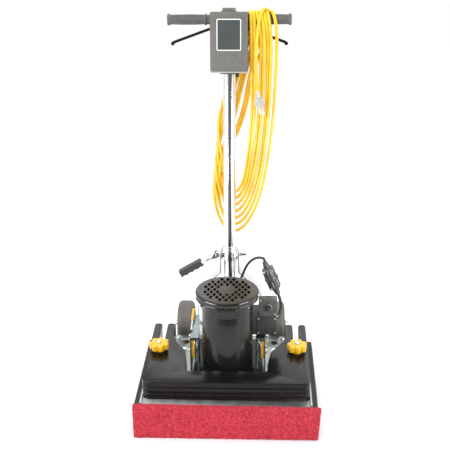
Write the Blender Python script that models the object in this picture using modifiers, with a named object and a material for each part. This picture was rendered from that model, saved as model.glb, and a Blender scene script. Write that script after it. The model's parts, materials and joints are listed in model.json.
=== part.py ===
"""Orbital floor machine: a weighted rectangular pad head, an upright motor and a tilting handle.

World axes: +X to the machine's left-hand wheel seen from the operator, +Y towards the operator, +Z up.
The origin is on the floor, under the motor shaft. Lengths are in metres.
"""
import math

import bmesh
import bpy
from mathutils import Matrix, Vector

GAP = 0.0003

# Pad head
PAD_WIDTH = 0.504
PAD_DEPTH = 0.342
PAD_THICK = 0.025
DRIVER_WIDTH = 0.480
DRIVER_DEPTH = 0.336
DRIVER_TOP = 0.045
DECK_HALF = 0.2473
DECK_FRONT = -0.1767
DECK_BACK = 0.2225
DECK_BACK_HALF = 0.185
SKIRT_BACK = 0.193
DECK_BOTTOM = 0.0925
DECK_TOP = 0.104
SKIRT_INNER = DECK_HALF + 0.0005
SKIRT_OUTER = 0.2637
SKIRT_BOTTOM = 0.032
SKIRT_TOP = 0.1025
STRIP_HALF = 0.2665
STRIP_FRONT = -0.195
STRIP_HEIGHT = 0.102

# Weights and their clamps
WEIGHT_COUNT = 3
WEIGHT_THICK = 0.0193
WEIGHT_HALF = 0.242
WEIGHT_FRONT = -0.152
PRONG_BACK = 0.195
STUD_X = 0.2095
STUD_Y = 0.027
STUD_RADIUS = 0.006
SLOT_HALF = 0.0088
KNOB_LOBES = 7

# Motor
ECCENTRIC = 0.003
SHAFT_RADIUS = 0.008
MOTOR_RADIUS = 0.075
MOTOR_WALL = 0.0039
FLANGE_TOP = 0.128
HOUSING_TOP = 0.325
COVER_RADIUS = 0.0945
COVER_FACE_RADIUS = 0.0830
COVER_BOTTOM = 0.3640
COVER_TOP = 0.3845
SHROUD_RADIUS = 0.0768
GRILLE_RADIUS = 0.0715
GRILLE_HUB_RADIUS = 0.019
GRILLE_STEP_X = 0.0090
GRILLE_STEP_Y = 0.0165
GRILLE_HOLE = (0.0062, 0.0118)

# Yoke and wheels
PIVOT_Y = 0.2185
PIVOT_Z = 0.400
ROD_RADIUS = 0.006
CHEEK_THICK = 0.004
CHEEK_TOP_X = 0.0285
CHEEK_LOW_X = 0.099
CHEEK_BEND_Z = 0.345
AXLE_Y = 0.308
AXLE_Z = 0.104
AXLE_RADIUS = 0.008
WHEEL_RADIUS = 0.075
WHEEL_INNER = 0.1255
WHEEL_OUTER = 0.178

# Handle, measured along the tube from its pivot
LEAN = math.radians(8.8)
TUBE_RADIUS = 0.019
TUBE_WALL = 0.002
TUBE_LOW = -0.098
TUBE_HIGH = 0.655
BOX_HALF = 0.0555
BOX_FRONT = -0.045
BOX_BACK = 0.026
BOX_LOW = 0.568
BOX_HIGH = 0.740
BOX_WALL = 0.003
GRIP_S = 0.718
BAR_RADIUS = 0.011
GRIP_INNER = 0.0575
GRIP_OUTER = 0.184
LEVER_PIVOT = (0.040, 0.690)
CORD_RADIUS = 0.005
CORD_TURNS = 4

COLLECTION = "orbital_floor_machine"


def clear_scene():
    for old in list(bpy.data.objects):
        bpy.data.objects.remove(old, do_unlink=True)


def new_collection(name):
    collection = bpy.data.collections.new(name)
    bpy.context.scene.collection.children.link(collection)
    return collection


clear_scene()
PARTS = new_collection(COLLECTION)
CUTTERS = new_collection("cutters")


# ---------------------------------------------------------------- materials

def material(name, colour, roughness, metallic=0.0):
    made = bpy.data.materials.new(name)
    made.use_nodes = True
    shader = made.node_tree.nodes["Principled BSDF"]
    shader.inputs["Base Color"].default_value = (*colour, 1.0)
    shader.inputs["Roughness"].default_value = roughness
    shader.inputs["Metallic"].default_value = metallic
    return made


RED_FIBRE = material("red_fibre", (0.62, 0.05, 0.07), 0.95)
GREY_STEEL = material("grey_steel", (0.22, 0.23, 0.24), 0.45, 0.6)
BLACK_RUBBER = material("black_rubber", (0.03, 0.03, 0.032), 0.7)
BLACK_PLATE = material("black_plate", (0.035, 0.035, 0.037), 0.5, 0.2)
BLACK_GLOSS = material("black_gloss", (0.015, 0.015, 0.017), 0.2)
YELLOW_PLASTIC = material("yellow_plastic", (0.95, 0.68, 0.04), 0.35)
YELLOW_URETHANE = material("yellow_urethane", (0.93, 0.66, 0.08), 0.4)
YELLOW_CORD = material("yellow_cord", (0.95, 0.62, 0.03), 0.45)
ZINC = material("zinc", (0.72, 0.73, 0.74), 0.3, 1.0)
CHROME = material("chrome", (0.85, 0.86, 0.87), 0.08, 1.0)
STEEL = material("steel", (0.5, 0.5, 0.52), 0.35, 1.0)
LAMINATIONS = material("laminated_steel", (0.4, 0.36, 0.32), 0.5, 0.8)
ALUMINIUM = material("aluminium", (0.68, 0.69, 0.7), 0.4, 1.0)
TYRE_GREY = material("tyre_grey", (0.30, 0.27, 0.26), 0.8)
GREY_PLASTIC = material("grey_plastic", (0.12, 0.12, 0.125), 0.65)
CLEAR_PLASTIC = material("clear_plastic", (0.75, 0.85, 0.82), 0.15)
RED_PLASTIC = material("red_plastic", (0.55, 0.05, 0.04), 0.4)


# ---------------------------------------------------------------- mesh tools

def finish_mesh(bm, name):
    mesh = bpy.data.meshes.new(name)
    bm.to_mesh(mesh)
    bm.free()
    return mesh


def boxes(name, *spans):
    """One mesh of boxes, each given by its low and its high corner."""
    bm = bmesh.new()
    for low, high in spans:
        low = Vector(low)
        high = Vector(high)
        place = Matrix.Translation((low + high) / 2) @ Matrix.Diagonal((*(high - low), 1.0))
        bmesh.ops.create_cube(bm, size=1.0, matrix=place)
    return finish_mesh(bm, name)


def cylinders(name, *rods, segments=24):
    """One mesh of cylinders, each given by its two end points and its radius."""
    bm = bmesh.new()
    for start, end, radius in rods:
        start = Vector(start)
        span = Vector(end) - start
        place = Matrix.Translation(start + span / 2) @ span.to_track_quat("Z", "Y").to_matrix().to_4x4()
        bmesh.ops.create_cone(bm, cap_ends=True, segments=segments, radius1=radius, radius2=radius,
                              depth=span.length, matrix=place)
    return finish_mesh(bm, name)


def baked(curve, name):
    """The mesh of a curve, with its caps welded."""
    holder = bpy.data.objects.new(name, curve)
    PARTS.objects.link(holder)
    evaluated = holder.evaluated_get(bpy.context.evaluated_depsgraph_get())
    mesh = bpy.data.meshes.new_from_object(evaluated)
    bpy.data.objects.remove(holder, do_unlink=True)
    bm = bmesh.new()
    bm.from_mesh(mesh)
    bmesh.ops.remove_doubles(bm, verts=bm.verts, dist=0.00001)
    bmesh.ops.recalc_face_normals(bm, faces=bm.faces)
    bm.to_mesh(mesh)
    bm.free()
    mesh.materials.clear()
    mesh.name = name
    return mesh


PLANES = {
    "Z": Matrix.Identity(4),
    "Y": Matrix(((1, 0, 0, 0), (0, 0, 1, 0), (0, 1, 0, 0), (0, 0, 0, 1))),
    "X": Matrix(((0, 0, 1, 0), (1, 0, 0, 0), (0, 1, 0, 0), (0, 0, 0, 1))),
}


def prism(name, outline, low, high, along="Z"):
    """A flat outline pushed along one axis. Its points are the two other coordinates, in order."""
    curve = bpy.data.curves.new(name, "CURVE")
    curve.dimensions = "2D"
    curve.fill_mode = "BOTH"
    curve.extrude = (high - low) / 2
    spline = curve.splines.new("POLY")
    spline.points.add(len(outline) - 1)
    for point, (a, b) in zip(spline.points, outline):
        point.co = (a, b, 0.0, 1.0)
    spline.use_cyclic_u = True
    mesh = baked(curve, name)
    mesh.transform(PLANES[along] @ Matrix.Translation((0, 0, (low + high) / 2)))
    bm = bmesh.new()
    bm.from_mesh(mesh)
    bmesh.ops.recalc_face_normals(bm, faces=bm.faces)
    bm.to_mesh(mesh)
    bm.free()
    return mesh


def wire(name, points, radius):
    """A round wire through the points."""
    curve = bpy.data.curves.new(name, "CURVE")
    curve.dimensions = "3D"
    curve.bevel_depth = radius
    curve.bevel_resolution = 2
    curve.use_fill_caps = True
    spline = curve.splines.new("POLY")
    spline.points.add(len(points) - 1)
    for point, place in zip(spline.points, points):
        point.co = (*place, 1.0)
    return baked(curve, name)


def smooth_path(knots, steps):
    """A Catmull-Rom curve through the knots, with the given steps between each pair."""
    knots = [Vector(knot) for knot in knots]
    ends = [2 * knots[0] - knots[1]] + knots + [2 * knots[-1] - knots[-2]]
    path = []
    for a, b, c, d in zip(ends, ends[1:], ends[2:], ends[3:]):
        for step in range(steps):
            t = step / steps
            path.append(0.5 * (2 * b + (c - a) * t + (2 * a - 5 * b + 4 * c - d) * t ** 2
                               + (3 * b - a - 3 * c + d) * t ** 3))
    path.append(knots[-1])
    return path


def filleted(corners, steps=4):
    """An outline whose corners (a, b, radius) are rounded with arcs."""
    outline = []
    for index, (a, b, radius) in enumerate(corners):
        here = Vector((a, b))
        if radius == 0:
            outline.append(tuple(here))
            continue
        before = Vector(corners[index - 1][:2]) - here
        after = Vector(corners[(index + 1) % len(corners)][:2]) - here
        half_angle = before.angle(after) / 2
        reach = radius / math.tan(half_angle)
        centre = here + (before.normalized() + after.normalized()).normalized() * radius / math.sin(half_angle)
        first = here + before.normalized() * reach - centre
        turn = first.angle_signed(here + after.normalized() * reach - centre)
        for step in range(steps + 1):
            arm = first.copy()
            arm.rotate(Matrix.Rotation(-turn * step / steps, 2))
            outline.append(tuple(centre + arm))
    return outline


def thick_path(knots, thickness):
    """The outline of a bent strip: its centre line set off to both sides, with mitred corners."""
    knots = [Vector(knot) for knot in knots]
    left, right = [], []
    for index, knot in enumerate(knots):
        ahead = (knots[min(index + 1, len(knots) - 1)] - knots[max(index, 1) - 1]).normalized()
        if 0 < index < len(knots) - 1:
            first = (knot - knots[index - 1]).normalized()
            ahead = (first + (knots[index + 1] - knot).normalized()).normalized()
            reach = thickness / 2 / first.dot(ahead)
        else:
            reach = thickness / 2
        normal = Vector((-ahead.y, ahead.x)) * reach
        left.append(tuple(knot + normal))
        right.append(tuple(knot - normal))
    return left + right[::-1]


def turned_profile(name, profile, closed):
    bm = bmesh.new()
    points = [bm.verts.new((radius, 0.0, height)) for radius, height in profile]
    pairs = list(zip(points, points[1:]))
    if closed:
        pairs.append((points[-1], points[0]))
    for pair in pairs:
        bm.edges.new(pair)
    return finish_mesh(bm, name)


# -------------------------------------------------------------- object tools

def empty(name, location=(0, 0, 0), rotation=(0, 0, 0), parent=None):
    pivot = bpy.data.objects.new(name, None)
    pivot.location = location
    pivot.rotation_euler = rotation
    pivot.parent = parent
    PARTS.objects.link(pivot)
    return pivot


def part(name, mesh, finish, parent=None, location=(0, 0, 0), rotation=(0, 0, 0)):
    made = bpy.data.objects.new(name, mesh)
    made.location = location
    made.rotation_euler = rotation
    made.parent = parent
    mesh.materials.clear()
    mesh.materials.append(finish)
    PARTS.objects.link(made)
    return made


def turned(name, profile, finish, steps=24, closed=False, **place):
    """A body turned about its own Z axis. The profile runs down its outer side."""
    made = part(name, turned_profile(name, profile, closed), finish, **place)
    screw = made.modifiers.new("turn", "SCREW")
    screw.axis = "Z"
    screw.steps = steps
    screw.render_steps = steps
    screw.use_merge_vertices = True
    screw.merge_threshold = 0.00002
    screw.use_smooth_shade = True
    return made


def ring(name, inner, outer, low, high, finish, **place):
    profile = [(inner, high), (outer, high), (outer, low), (inner, low)]
    return turned(name, profile, finish, closed=True, **place)


def combine(target, tool_mesh, operation):
    """Adds a boolean that cuts, joins or trims with a tool in the target's own frame."""
    tool = bpy.data.objects.new(tool_mesh.name, tool_mesh)
    tool.parent = target
    tool.hide_render = True
    tool.display_type = "WIRE"
    CUTTERS.objects.link(tool)
    step = target.modifiers.new(tool_mesh.name, "BOOLEAN")
    step.operation = operation
    step.object = tool
    return target


def cut(target, tool_mesh):
    return combine(target, tool_mesh, "DIFFERENCE")


def join(target, tool_mesh):
    return combine(target, tool_mesh, "UNION")


def soften(target, width, segments=2):
    bevel = target.modifiers.new("soften", "BEVEL")
    bevel.width = width
    bevel.segments = segments
    bevel.limit_method = "ANGLE"
    bevel.angle_limit = math.radians(40)
    return target


def side_name(side):
    return "right" if side > 0 else "left"


# ------------------------------------------------------------ pivot empties

MOTOR_AXIS = empty("motor_axis")
ECCENTRIC_AXIS = empty("eccentric_axis", (0, ECCENTRIC, 0))
HANDLE_PIVOT = empty("handle_pivot", (0, PIVOT_Y, PIVOT_Z), (-LEAN, 0, 0))


# ------------------------------------------------------------------ pad head

def pad_head():
    half_w, half_d = PAD_WIDTH / 2, PAD_DEPTH / 2
    corner = 0.012
    outline = filleted([(half_w, half_d, corner), (-half_w, half_d, corner),
                        (-half_w, -half_d, corner), (half_w, -half_d, corner)])
    part("floor_pad", prism("floor_pad", outline, 0.0, PAD_THICK), RED_FIBRE, ECCENTRIC_AXIS)

    driver = part("driver_plate", boxes("driver_plate", (
        (-DRIVER_WIDTH / 2, -DRIVER_DEPTH / 2, PAD_THICK + GAP), (DRIVER_WIDTH / 2, DRIVER_DEPTH / 2, DRIVER_TOP))),
        ALUMINIUM, ECCENTRIC_AXIS)
    boss_top = DRIVER_TOP + 0.011
    bearing_radius = 0.0235
    seat = 0.036
    join(driver, cylinders("bearing_boss", ((0, 0, 0.03), (0, 0, boss_top), 0.034)))
    cut(driver, cylinders("bearing_bore", ((0, 0, seat), (0, 0, boss_top + 0.01), bearing_radius + GAP)))
    ring("driver_bearing", 0.0128, bearing_radius, seat + GAP, boss_top - 0.001, STEEL, parent=ECCENTRIC_AXIS)

    hub_low, hub_high = 0.060, 0.086
    hub = turned("eccentric_hub", [(0, hub_high), (0.028, hub_high), (0.030, hub_high - 0.002),
                                   (0.030, hub_low), (0, hub_low)], STEEL, parent=MOTOR_AXIS)
    join(hub, cylinders("crank_pin", ((0, ECCENTRIC, seat + 2 * GAP), (0, ECCENTRIC, hub_low + 0.004), 0.0125)))
    join(hub, boxes("counterweight", ((-0.030, -0.056, hub_low + 0.003), (0.030, -0.012, hub_high - 0.003))))
    cut(hub, cylinders("shaft_socket", ((0, 0, 0.070), (0, 0, hub_high + 0.01), SHAFT_RADIUS + GAP)))


def deck():
    corners = [(-DECK_HALF, DECK_FRONT, 0), (DECK_HALF, DECK_FRONT, 0), (DECK_HALF, SKIRT_BACK, 0),
               (DECK_BACK_HALF, SKIRT_BACK, 0), (DECK_BACK_HALF, DECK_BACK, 0.010),
               (-DECK_BACK_HALF, DECK_BACK, 0.010), (-DECK_BACK_HALF, SKIRT_BACK, 0), (-DECK_HALF, SKIRT_BACK, 0)]
    plate = part("deck_plate", prism("deck_plate", filleted(corners), DECK_BOTTOM, DECK_TOP), GREY_STEEL)
    join(plate, boxes("front_flange", ((-DECK_HALF + 0.001, DECK_FRONT + 0.0001, 0.040),
                                       (DECK_HALF - 0.001, DECK_FRONT + 0.003, DECK_BOTTOM + 0.004))))
    hole_x, hole_y, hole_radius = 0.142, 0.179, 0.013
    through = (DECK_BOTTOM - 0.01, DECK_TOP + 0.01)
    cut(plate, cylinders("deck_holes",
                         ((0, 0, through[0]), (0, 0, through[1]), 0.020),
                         ((hole_x, hole_y, through[0]), (hole_x, hole_y, through[1]), hole_radius),
                         ((-hole_x, hole_y, through[0]), (-hole_x, hole_y, through[1]), hole_radius)))

    part("splash_strip", boxes("splash_strip", ((-STRIP_HALF, STRIP_FRONT, 0.0),
                                                (STRIP_HALF, DECK_FRONT - GAP, STRIP_HEIGHT))), RED_FIBRE)

    groove = 0.0018
    width = SKIRT_OUTER - SKIRT_INNER
    profile = [(0, SKIRT_BOTTOM), (width, SKIRT_BOTTOM), (width, SKIRT_TOP - 0.004), (width - 0.003, SKIRT_TOP)]
    for centre in (0.68 * width, 0.36 * width):
        profile += [(centre + groove, SKIRT_TOP), (centre, SKIRT_TOP - groove), (centre - groove, SKIRT_TOP)]
    profile.append((0, SKIRT_TOP))
    for side in (1, -1):
        name = f"side_skirt_{side_name(side)}"
        outline = [(side * (SKIRT_INNER + x), z) for x, z in profile]
        part(name, prism(name, outline, DECK_FRONT, SKIRT_BACK, "Y"), BLACK_RUBBER)

    for end, y in (("front", -0.120), ("rear", 0.128)):
        for side in (1, -1):
            name = f"isolator_{end}_{side_name(side)}"
            turned(name, [(0, DECK_BOTTOM - GAP), (0.019, DECK_BOTTOM - GAP), (0.015, 0.075), (0.015, 0.062),
                          (0.019, DRIVER_TOP + GAP), (0, DRIVER_TOP + GAP)], BLACK_RUBBER, steps=20,
                   location=(side * 0.185, y, 0))


# ------------------------------------------------------------------- weights

def weight_outline():
    inner_prong = 2 * STUD_X - WEIGHT_HALF - 0.002
    slot_in, slot_out = STUD_X - SLOT_HALF, STUD_X + SLOT_HALF
    slot_floor = STUD_Y - 0.011
    half = [(WEIGHT_HALF, WEIGHT_FRONT, 0.020), (WEIGHT_HALF, PRONG_BACK, 0.010),
            (slot_out, PRONG_BACK, 0.010), (slot_out, slot_floor, 0.008), (slot_in, slot_floor, 0.008),
            (slot_in, PRONG_BACK, 0.010), (inner_prong, PRONG_BACK, 0.010), (inner_prong, 0.100, 0.004),
            (0.130, 0.022, 0.010), (0.1195, -0.050, 0.010), (0.1195, -0.088, 0.008)]
    return half + [(-x, y, r) for x, y, r in reversed(half)]


def weights():
    outline = filleted(weight_outline(), steps=3)
    floor = DECK_TOP + GAP
    for number in range(1, WEIGHT_COUNT + 1):
        name = f"weight_plate_{number}"
        part(name, prism(name, outline, floor, floor + WEIGHT_THICK), BLACK_PLATE)
        floor += WEIGHT_THICK + GAP
    return floor


def knob_mesh(low, high):
    points = KNOB_LOBES * 6
    outline = []
    for index in range(points):
        turn = 2 * math.pi * index / points
        reach = 0.0265 + 0.0042 * math.cos(KNOB_LOBES * turn)
        outline.append((reach * math.cos(turn), reach * math.sin(turn)))
    return prism("clamp_knob", outline, low, high)


def clamps(stack_top):
    stud_top = stack_top + 0.033
    for side in (1, -1):
        where = (side * STUD_X, STUD_Y, 0)
        turned(f"clamp_stud_{side_name(side)}", [(0, stud_top), (STUD_RADIUS - 0.001, stud_top),
                                                 (STUD_RADIUS, stud_top - 0.001), (STUD_RADIUS, DECK_TOP + GAP),
                                                 (0, DECK_TOP + GAP)], CHROME, steps=20, location=where)
        head_low = stack_top + 0.005
        knob = part(f"clamp_knob_{side_name(side)}", knob_mesh(head_low, stack_top + 0.028), YELLOW_PLASTIC,
                    location=where)
        join(knob, cylinders("knob_shank", ((0, 0, stack_top), (0, 0, head_low + 0.003), 0.017)))
        cut(knob, cylinders("knob_bore", ((0, 0, stack_top - 0.01), (0, 0, stud_top + 0.01), STUD_RADIUS + GAP),
                            segments=20))


# --------------------------------------------------------------------- motor

def motor():
    seat = 0.0203
    shaft_hole = 0.0095
    turned("motor_flange", [(0.0707, FLANGE_TOP + 0.006), (0.0707, FLANGE_TOP), (0.081, FLANGE_TOP),
                            (0.081, DECK_TOP + GAP), (shaft_hole, DECK_TOP + GAP), (shaft_hole, 0.110),
                            (seat, 0.110), (seat, FLANGE_TOP), (0.066, FLANGE_TOP), (0.066, FLANGE_TOP + 0.006)],
           BLACK_GLOSS, steps=28, closed=True)
    ring("motor_bearing_lower", SHAFT_RADIUS + GAP, seat - GAP, 0.110 + GAP, 0.1223, STEEL)
    ring("motor_housing", MOTOR_RADIUS - MOTOR_WALL, MOTOR_RADIUS, FLANGE_TOP + GAP, HOUSING_TOP, BLACK_GLOSS,
         steps=40)
    ring("stator_core", 0.0445, MOTOR_RADIUS - MOTOR_WALL - GAP, 0.165, 0.265, LAMINATIONS, steps=28)

    bell_low = HOUSING_TOP + GAP
    bell_top = 0.346
    shroud_top = COVER_BOTTOM + 0.001
    bell = turned("motor_top_bell", [
        (0, bell_top), (0.030, bell_top), (0.068, bell_low + 0.010), (SHROUD_RADIUS - 0.004, bell_low + 0.012),
        (SHROUD_RADIUS - 0.004, shroud_top), (SHROUD_RADIUS, shroud_top), (SHROUD_RADIUS, bell_low), (0, bell_low)],
                  BLACK_GLOSS, steps=36)
    reach = COVER_RADIUS - 0.0018 - 2 * GAP
    for way in (-1, 1):
        span = sorted((way * (SHROUD_RADIUS - 0.003), way * reach))
        ear_low = (span[0], -0.005, COVER_BOTTOM - 0.005)
        ear_high = (span[1], 0.005, COVER_BOTTOM + 0.003)
        join(bell, boxes("cover_ear", (ear_low, ear_high)))
    cut(bell, cylinders("bell_hole", ((0, 0, bell_low - 0.02), (0, 0, bell_top + 0.02), shaft_hole)))
    cut(bell, cylinders("bell_seat", ((0, 0, bell_low - 0.02), (0, 0, bell_top - 0.006), seat), segments=24))
    ring("motor_bearing_upper", SHAFT_RADIUS + GAP, seat - GAP, bell_low, bell_top - 0.0095, STEEL)

    turned("motor_shaft", [(0, 0.372), (SHAFT_RADIUS, 0.372), (SHAFT_RADIUS, 0.0705), (0, 0.0705)], STEEL,
           steps=24, parent=MOTOR_AXIS)
    ring("rotor_core", SHAFT_RADIUS + GAP, 0.0440, 0.163, 0.267, LAMINATIONS, parent=MOTOR_AXIS)
    fan()
    fan_cover()


def fan():
    low, high = 0.3505, 0.370
    hub = ring("cooling_fan", SHAFT_RADIUS + GAP, 0.066, low, low + 0.003, BLACK_RUBBER, parent=MOTOR_AXIS)
    blades = 6
    bm = bmesh.new()
    for index in range(blades):
        turn = Matrix.Rotation(2 * math.pi * index / blades, 4, "Z")
        size = Matrix.Diagonal((0.050, 0.002, high - low - 0.001, 1.0))
        bmesh.ops.create_cube(bm, size=1.0,
                              matrix=turn @ Matrix.Translation((0.042, 0, (low + high) / 2)) @ size)
    join(hub, finish_mesh(bm, "fan_blades"))


def fan_cover():
    wall = 0.0018
    shoulder = 0.011
    cover = turned("fan_cover", [
        (0, COVER_TOP), (COVER_FACE_RADIUS, COVER_TOP), (COVER_FACE_RADIUS + 0.006, COVER_TOP - 0.003),
        (COVER_RADIUS, COVER_TOP - shoulder), (COVER_RADIUS, COVER_BOTTOM), (COVER_RADIUS - wall, COVER_BOTTOM),
        (COVER_RADIUS - wall, COVER_TOP - shoulder), (COVER_FACE_RADIUS + 0.0045, COVER_TOP - 0.0045),
        (COVER_FACE_RADIUS - 0.001, COVER_TOP - wall), (0, COVER_TOP - wall)], BLACK_GLOSS, steps=36)
    bm = bmesh.new()
    rows = int(GRILLE_RADIUS / GRILLE_STEP_Y) + 1
    columns = int(GRILLE_RADIUS / GRILLE_STEP_X) + 1
    for row in range(-rows, rows + 1):
        for column in range(-columns, columns + 1):
            x, y = column * GRILLE_STEP_X, row * GRILLE_STEP_Y
            if (row + column) % 2 or not GRILLE_HUB_RADIUS < math.hypot(x, y) < GRILLE_RADIUS:
                continue
            size = Matrix.Diagonal((*GRILLE_HOLE, 1.0, 1.0))
            bmesh.ops.create_cone(bm, cap_ends=True, segments=4, radius1=1.0, radius2=1.0, depth=0.02,
                                  matrix=Matrix.Translation((x, y, COVER_TOP)) @ size)
    cut(cover, finish_mesh(bm, "vent_holes"))


def junction_box():
    low, high = 0.2305, 0.293
    front, back = 0.008, 0.085
    side, top = 0.1475, 0.349
    box = part("junction_box", boxes("junction_box", ((0.052, front, low), (side, back, high))), BLACK_RUBBER)
    case_low = (0.0925, front + 0.002, high - 0.004)
    case_high = (side - 0.0008, front + 0.026, top)
    join(box, boxes("overload_case", (case_low, case_high)))
    fitting = (0.1200, 0.321)
    collar_front = front - 0.004
    join(box, cylinders("reset_collar", ((fitting[0], collar_front, fitting[1]),
                                         (fitting[0], front + 0.010, fitting[1]), 0.0115)))
    cut(box, cylinders("reset_bore", ((fitting[0], collar_front - 0.01, fitting[1]),
                                      (fitting[0], front + 0.014, fitting[1]), 0.0068)))
    cut(box, cylinders("motor_saddle", ((0, 0, low - 0.02), (0, 0, high + 0.02), MOTOR_RADIUS + GAP),
                       segments=48))
    turned("reset_button", [(0, 0.0), (0.0050, 0.0), (0.0062, -0.0012), (0.0062, -0.0165), (0, -0.0165)],
           RED_PLASTIC, steps=20, location=(fitting[0], collar_front - 0.0045, fitting[1]),
           rotation=(math.radians(90), 0, 0))


# ---------------------------------------------------------- yoke and wheels

def brackets():
    base, top, sheet = DECK_TOP + GAP, 0.222, 0.003
    inner, outer = 0.0845, 0.1135
    front, back = 0.0, 0.146
    lip_in, lip_out = 0.093, 0.105
    profile = [(inner, base), (lip_in, base), (lip_in, base + sheet), (inner + sheet, base + sheet),
               (inner + sheet, top - sheet), (outer - sheet, top - sheet), (outer - sheet, base + sheet),
               (lip_out, base + sheet), (lip_out, base), (outer, base), (outer, top), (inner, top)]
    for side in (1, -1):
        name = f"yoke_bracket_{side_name(side)}"
        bracket = part(name, prism(name, [(side * x, z) for x, z in profile], front, back, "Y"), ZINC)
        for near, far, beyond in ((inner - 0.0004, 0.0955, 0.05), (outer + 0.0004, 0.1075, 0.15)):
            rear = back + 0.01
            taper = [(side * x, y) for x, y in ((near, 0.006), (far, rear), (beyond, rear), (beyond, 0.006))]
            cut(bracket, prism("bracket_taper", taper, base - 0.01, top + 0.01))
        inside = CHEEK_LOW_X + CHEEK_THICK / 2 + GAP
        name = f"yoke_damper_{side_name(side)}"
        span = sorted((side * inside, side * (outer - sheet - GAP)))
        part(name, boxes(name, ((span[0], front + 0.006, 0.148), (span[1], front + 0.050, 0.208))), YELLOW_URETHANE)


def cheeks():
    bend = CHEEK_BEND_Z - (CHEEK_LOW_X - CHEEK_TOP_X)
    path = [(CHEEK_TOP_X, 0.45), (CHEEK_TOP_X, CHEEK_BEND_Z), (CHEEK_LOW_X, bend), (CHEEK_LOW_X, 0.04)]
    side_view = filleted([
        (PIVOT_Y - 0.020, PIVOT_Z + 0.024, 0.018), (PIVOT_Y - 0.020, 0.300, 0.020), (0.150, 0.2120, 0.020),
        (0.003, 0.2120, 0.020), (0.003, 0.124, 0.020), (0.232, 0.124, 0.010), (0.262, 0.070, 0.016),
        (AXLE_Y + 0.016, 0.070, 0.024), (AXLE_Y + 0.026, AXLE_Z + 0.014, 0.016),
        (PIVOT_Y + 0.030, 0.262, 0.030), (PIVOT_Y + 0.020, PIVOT_Z + 0.024, 0.018)])
    holes = [((-0.3, PIVOT_Y, PIVOT_Z), (0.3, PIVOT_Y, PIVOT_Z), ROD_RADIUS + GAP),
             ((-0.3, AXLE_Y, AXLE_Z), (0.3, AXLE_Y, AXLE_Z), AXLE_RADIUS + GAP)]
    for side in (1, -1):
        name = f"yoke_cheek_{side_name(side)}"
        strip = thick_path([(side * x, z) for x, z in path], CHEEK_THICK)
        cheek = part(name, prism(name, strip, -0.08, 0.36, "Y"), ZINC)
        combine(cheek, prism("cheek_side_view", side_view, -0.2, 0.2, "X"), "INTERSECT")
        cut(cheek, cylinders("cheek_holes", *holes))

    across = (0, math.radians(90), 0)
    turned("wheel_axle", [(0, 0.190), (AXLE_RADIUS, 0.190), (AXLE_RADIUS, -0.190), (0, -0.190)], STEEL, steps=24,
           location=(0, AXLE_Y, AXLE_Z), rotation=across)


def wheels():
    middle = (WHEEL_INNER + WHEEL_OUTER) / 2
    half = (WHEEL_OUTER - WHEEL_INNER) / 2
    rim = 0.056
    boss = 0.0165
    web = 0.006
    hub_in = CHEEK_LOW_X + CHEEK_THICK / 2 + 2 * GAP - middle
    bore = AXLE_RADIUS + GAP
    for side in (1, -1):
        place = dict(location=(side * middle, AXLE_Y, AXLE_Z), rotation=(0, math.radians(90 * side), 0))
        turned(f"wheel_tyre_{side_name(side)}", [
            (rim + GAP, half), (rim + 0.010, half), (WHEEL_RADIUS - 0.004, half - 0.004),
            (WHEEL_RADIUS, half - 0.012), (WHEEL_RADIUS, -half + 0.012), (WHEEL_RADIUS - 0.004, -half + 0.004),
            (rim + 0.010, -half), (rim + GAP, -half)], TYRE_GREY, steps=32, closed=True, **place)
        turned(f"wheel_hub_{side_name(side)}", [
            (bore, half + 0.004), (boss, half + 0.004), (boss, web), (rim - 0.005, web), (rim - 0.005, half - 0.002),
            (rim, half - 0.002), (rim, -half + 0.002), (rim - 0.005, -half + 0.002), (rim - 0.005, -web),
            (boss, -web), (boss, hub_in), (bore, hub_in)], GREY_PLASTIC, steps=24, closed=True, **place)


# -------------------------------------------------------------------- handle

def handle_stem():
    tube = ring("handle_tube", TUBE_RADIUS - TUBE_WALL, TUBE_RADIUS, TUBE_LOW, TUBE_HIGH, CHROME,
                parent=HANDLE_PIVOT)
    rod_hole = ((-0.05, 0, 0), (0.05, 0, 0), ROD_RADIUS + GAP)
    cut(tube, cylinders("tube_cross_hole", rod_hole))
    collar = part("handle_collar", boxes("handle_collar", ((-0.0255, -0.024, -0.018), (0.0255, 0.024, 0.020))),
                  CHROME, HANDLE_PIVOT)
    soften(collar, 0.004)
    cut(collar, cylinders("collar_bore", ((0, 0, -0.05), (0, 0, 0.05), TUBE_RADIUS + GAP), segments=32))
    cut(collar, cylinders("collar_cross_hole", rod_hole))

    rod = turned("pivot_rod", [(0, 0.052), (0.005, 0.052), (ROD_RADIUS, 0.051), (ROD_RADIUS, -0.047),
                               (0, -0.047)], CHROME, steps=24, location=(0, PIVOT_Y, PIVOT_Z),
                 rotation=(0, math.radians(90), 0))
    join(rod, cylinders("cam_pin", ((0, -0.0155, -0.041), (0, 0.0155, -0.041), 0.003), segments=16))


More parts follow.
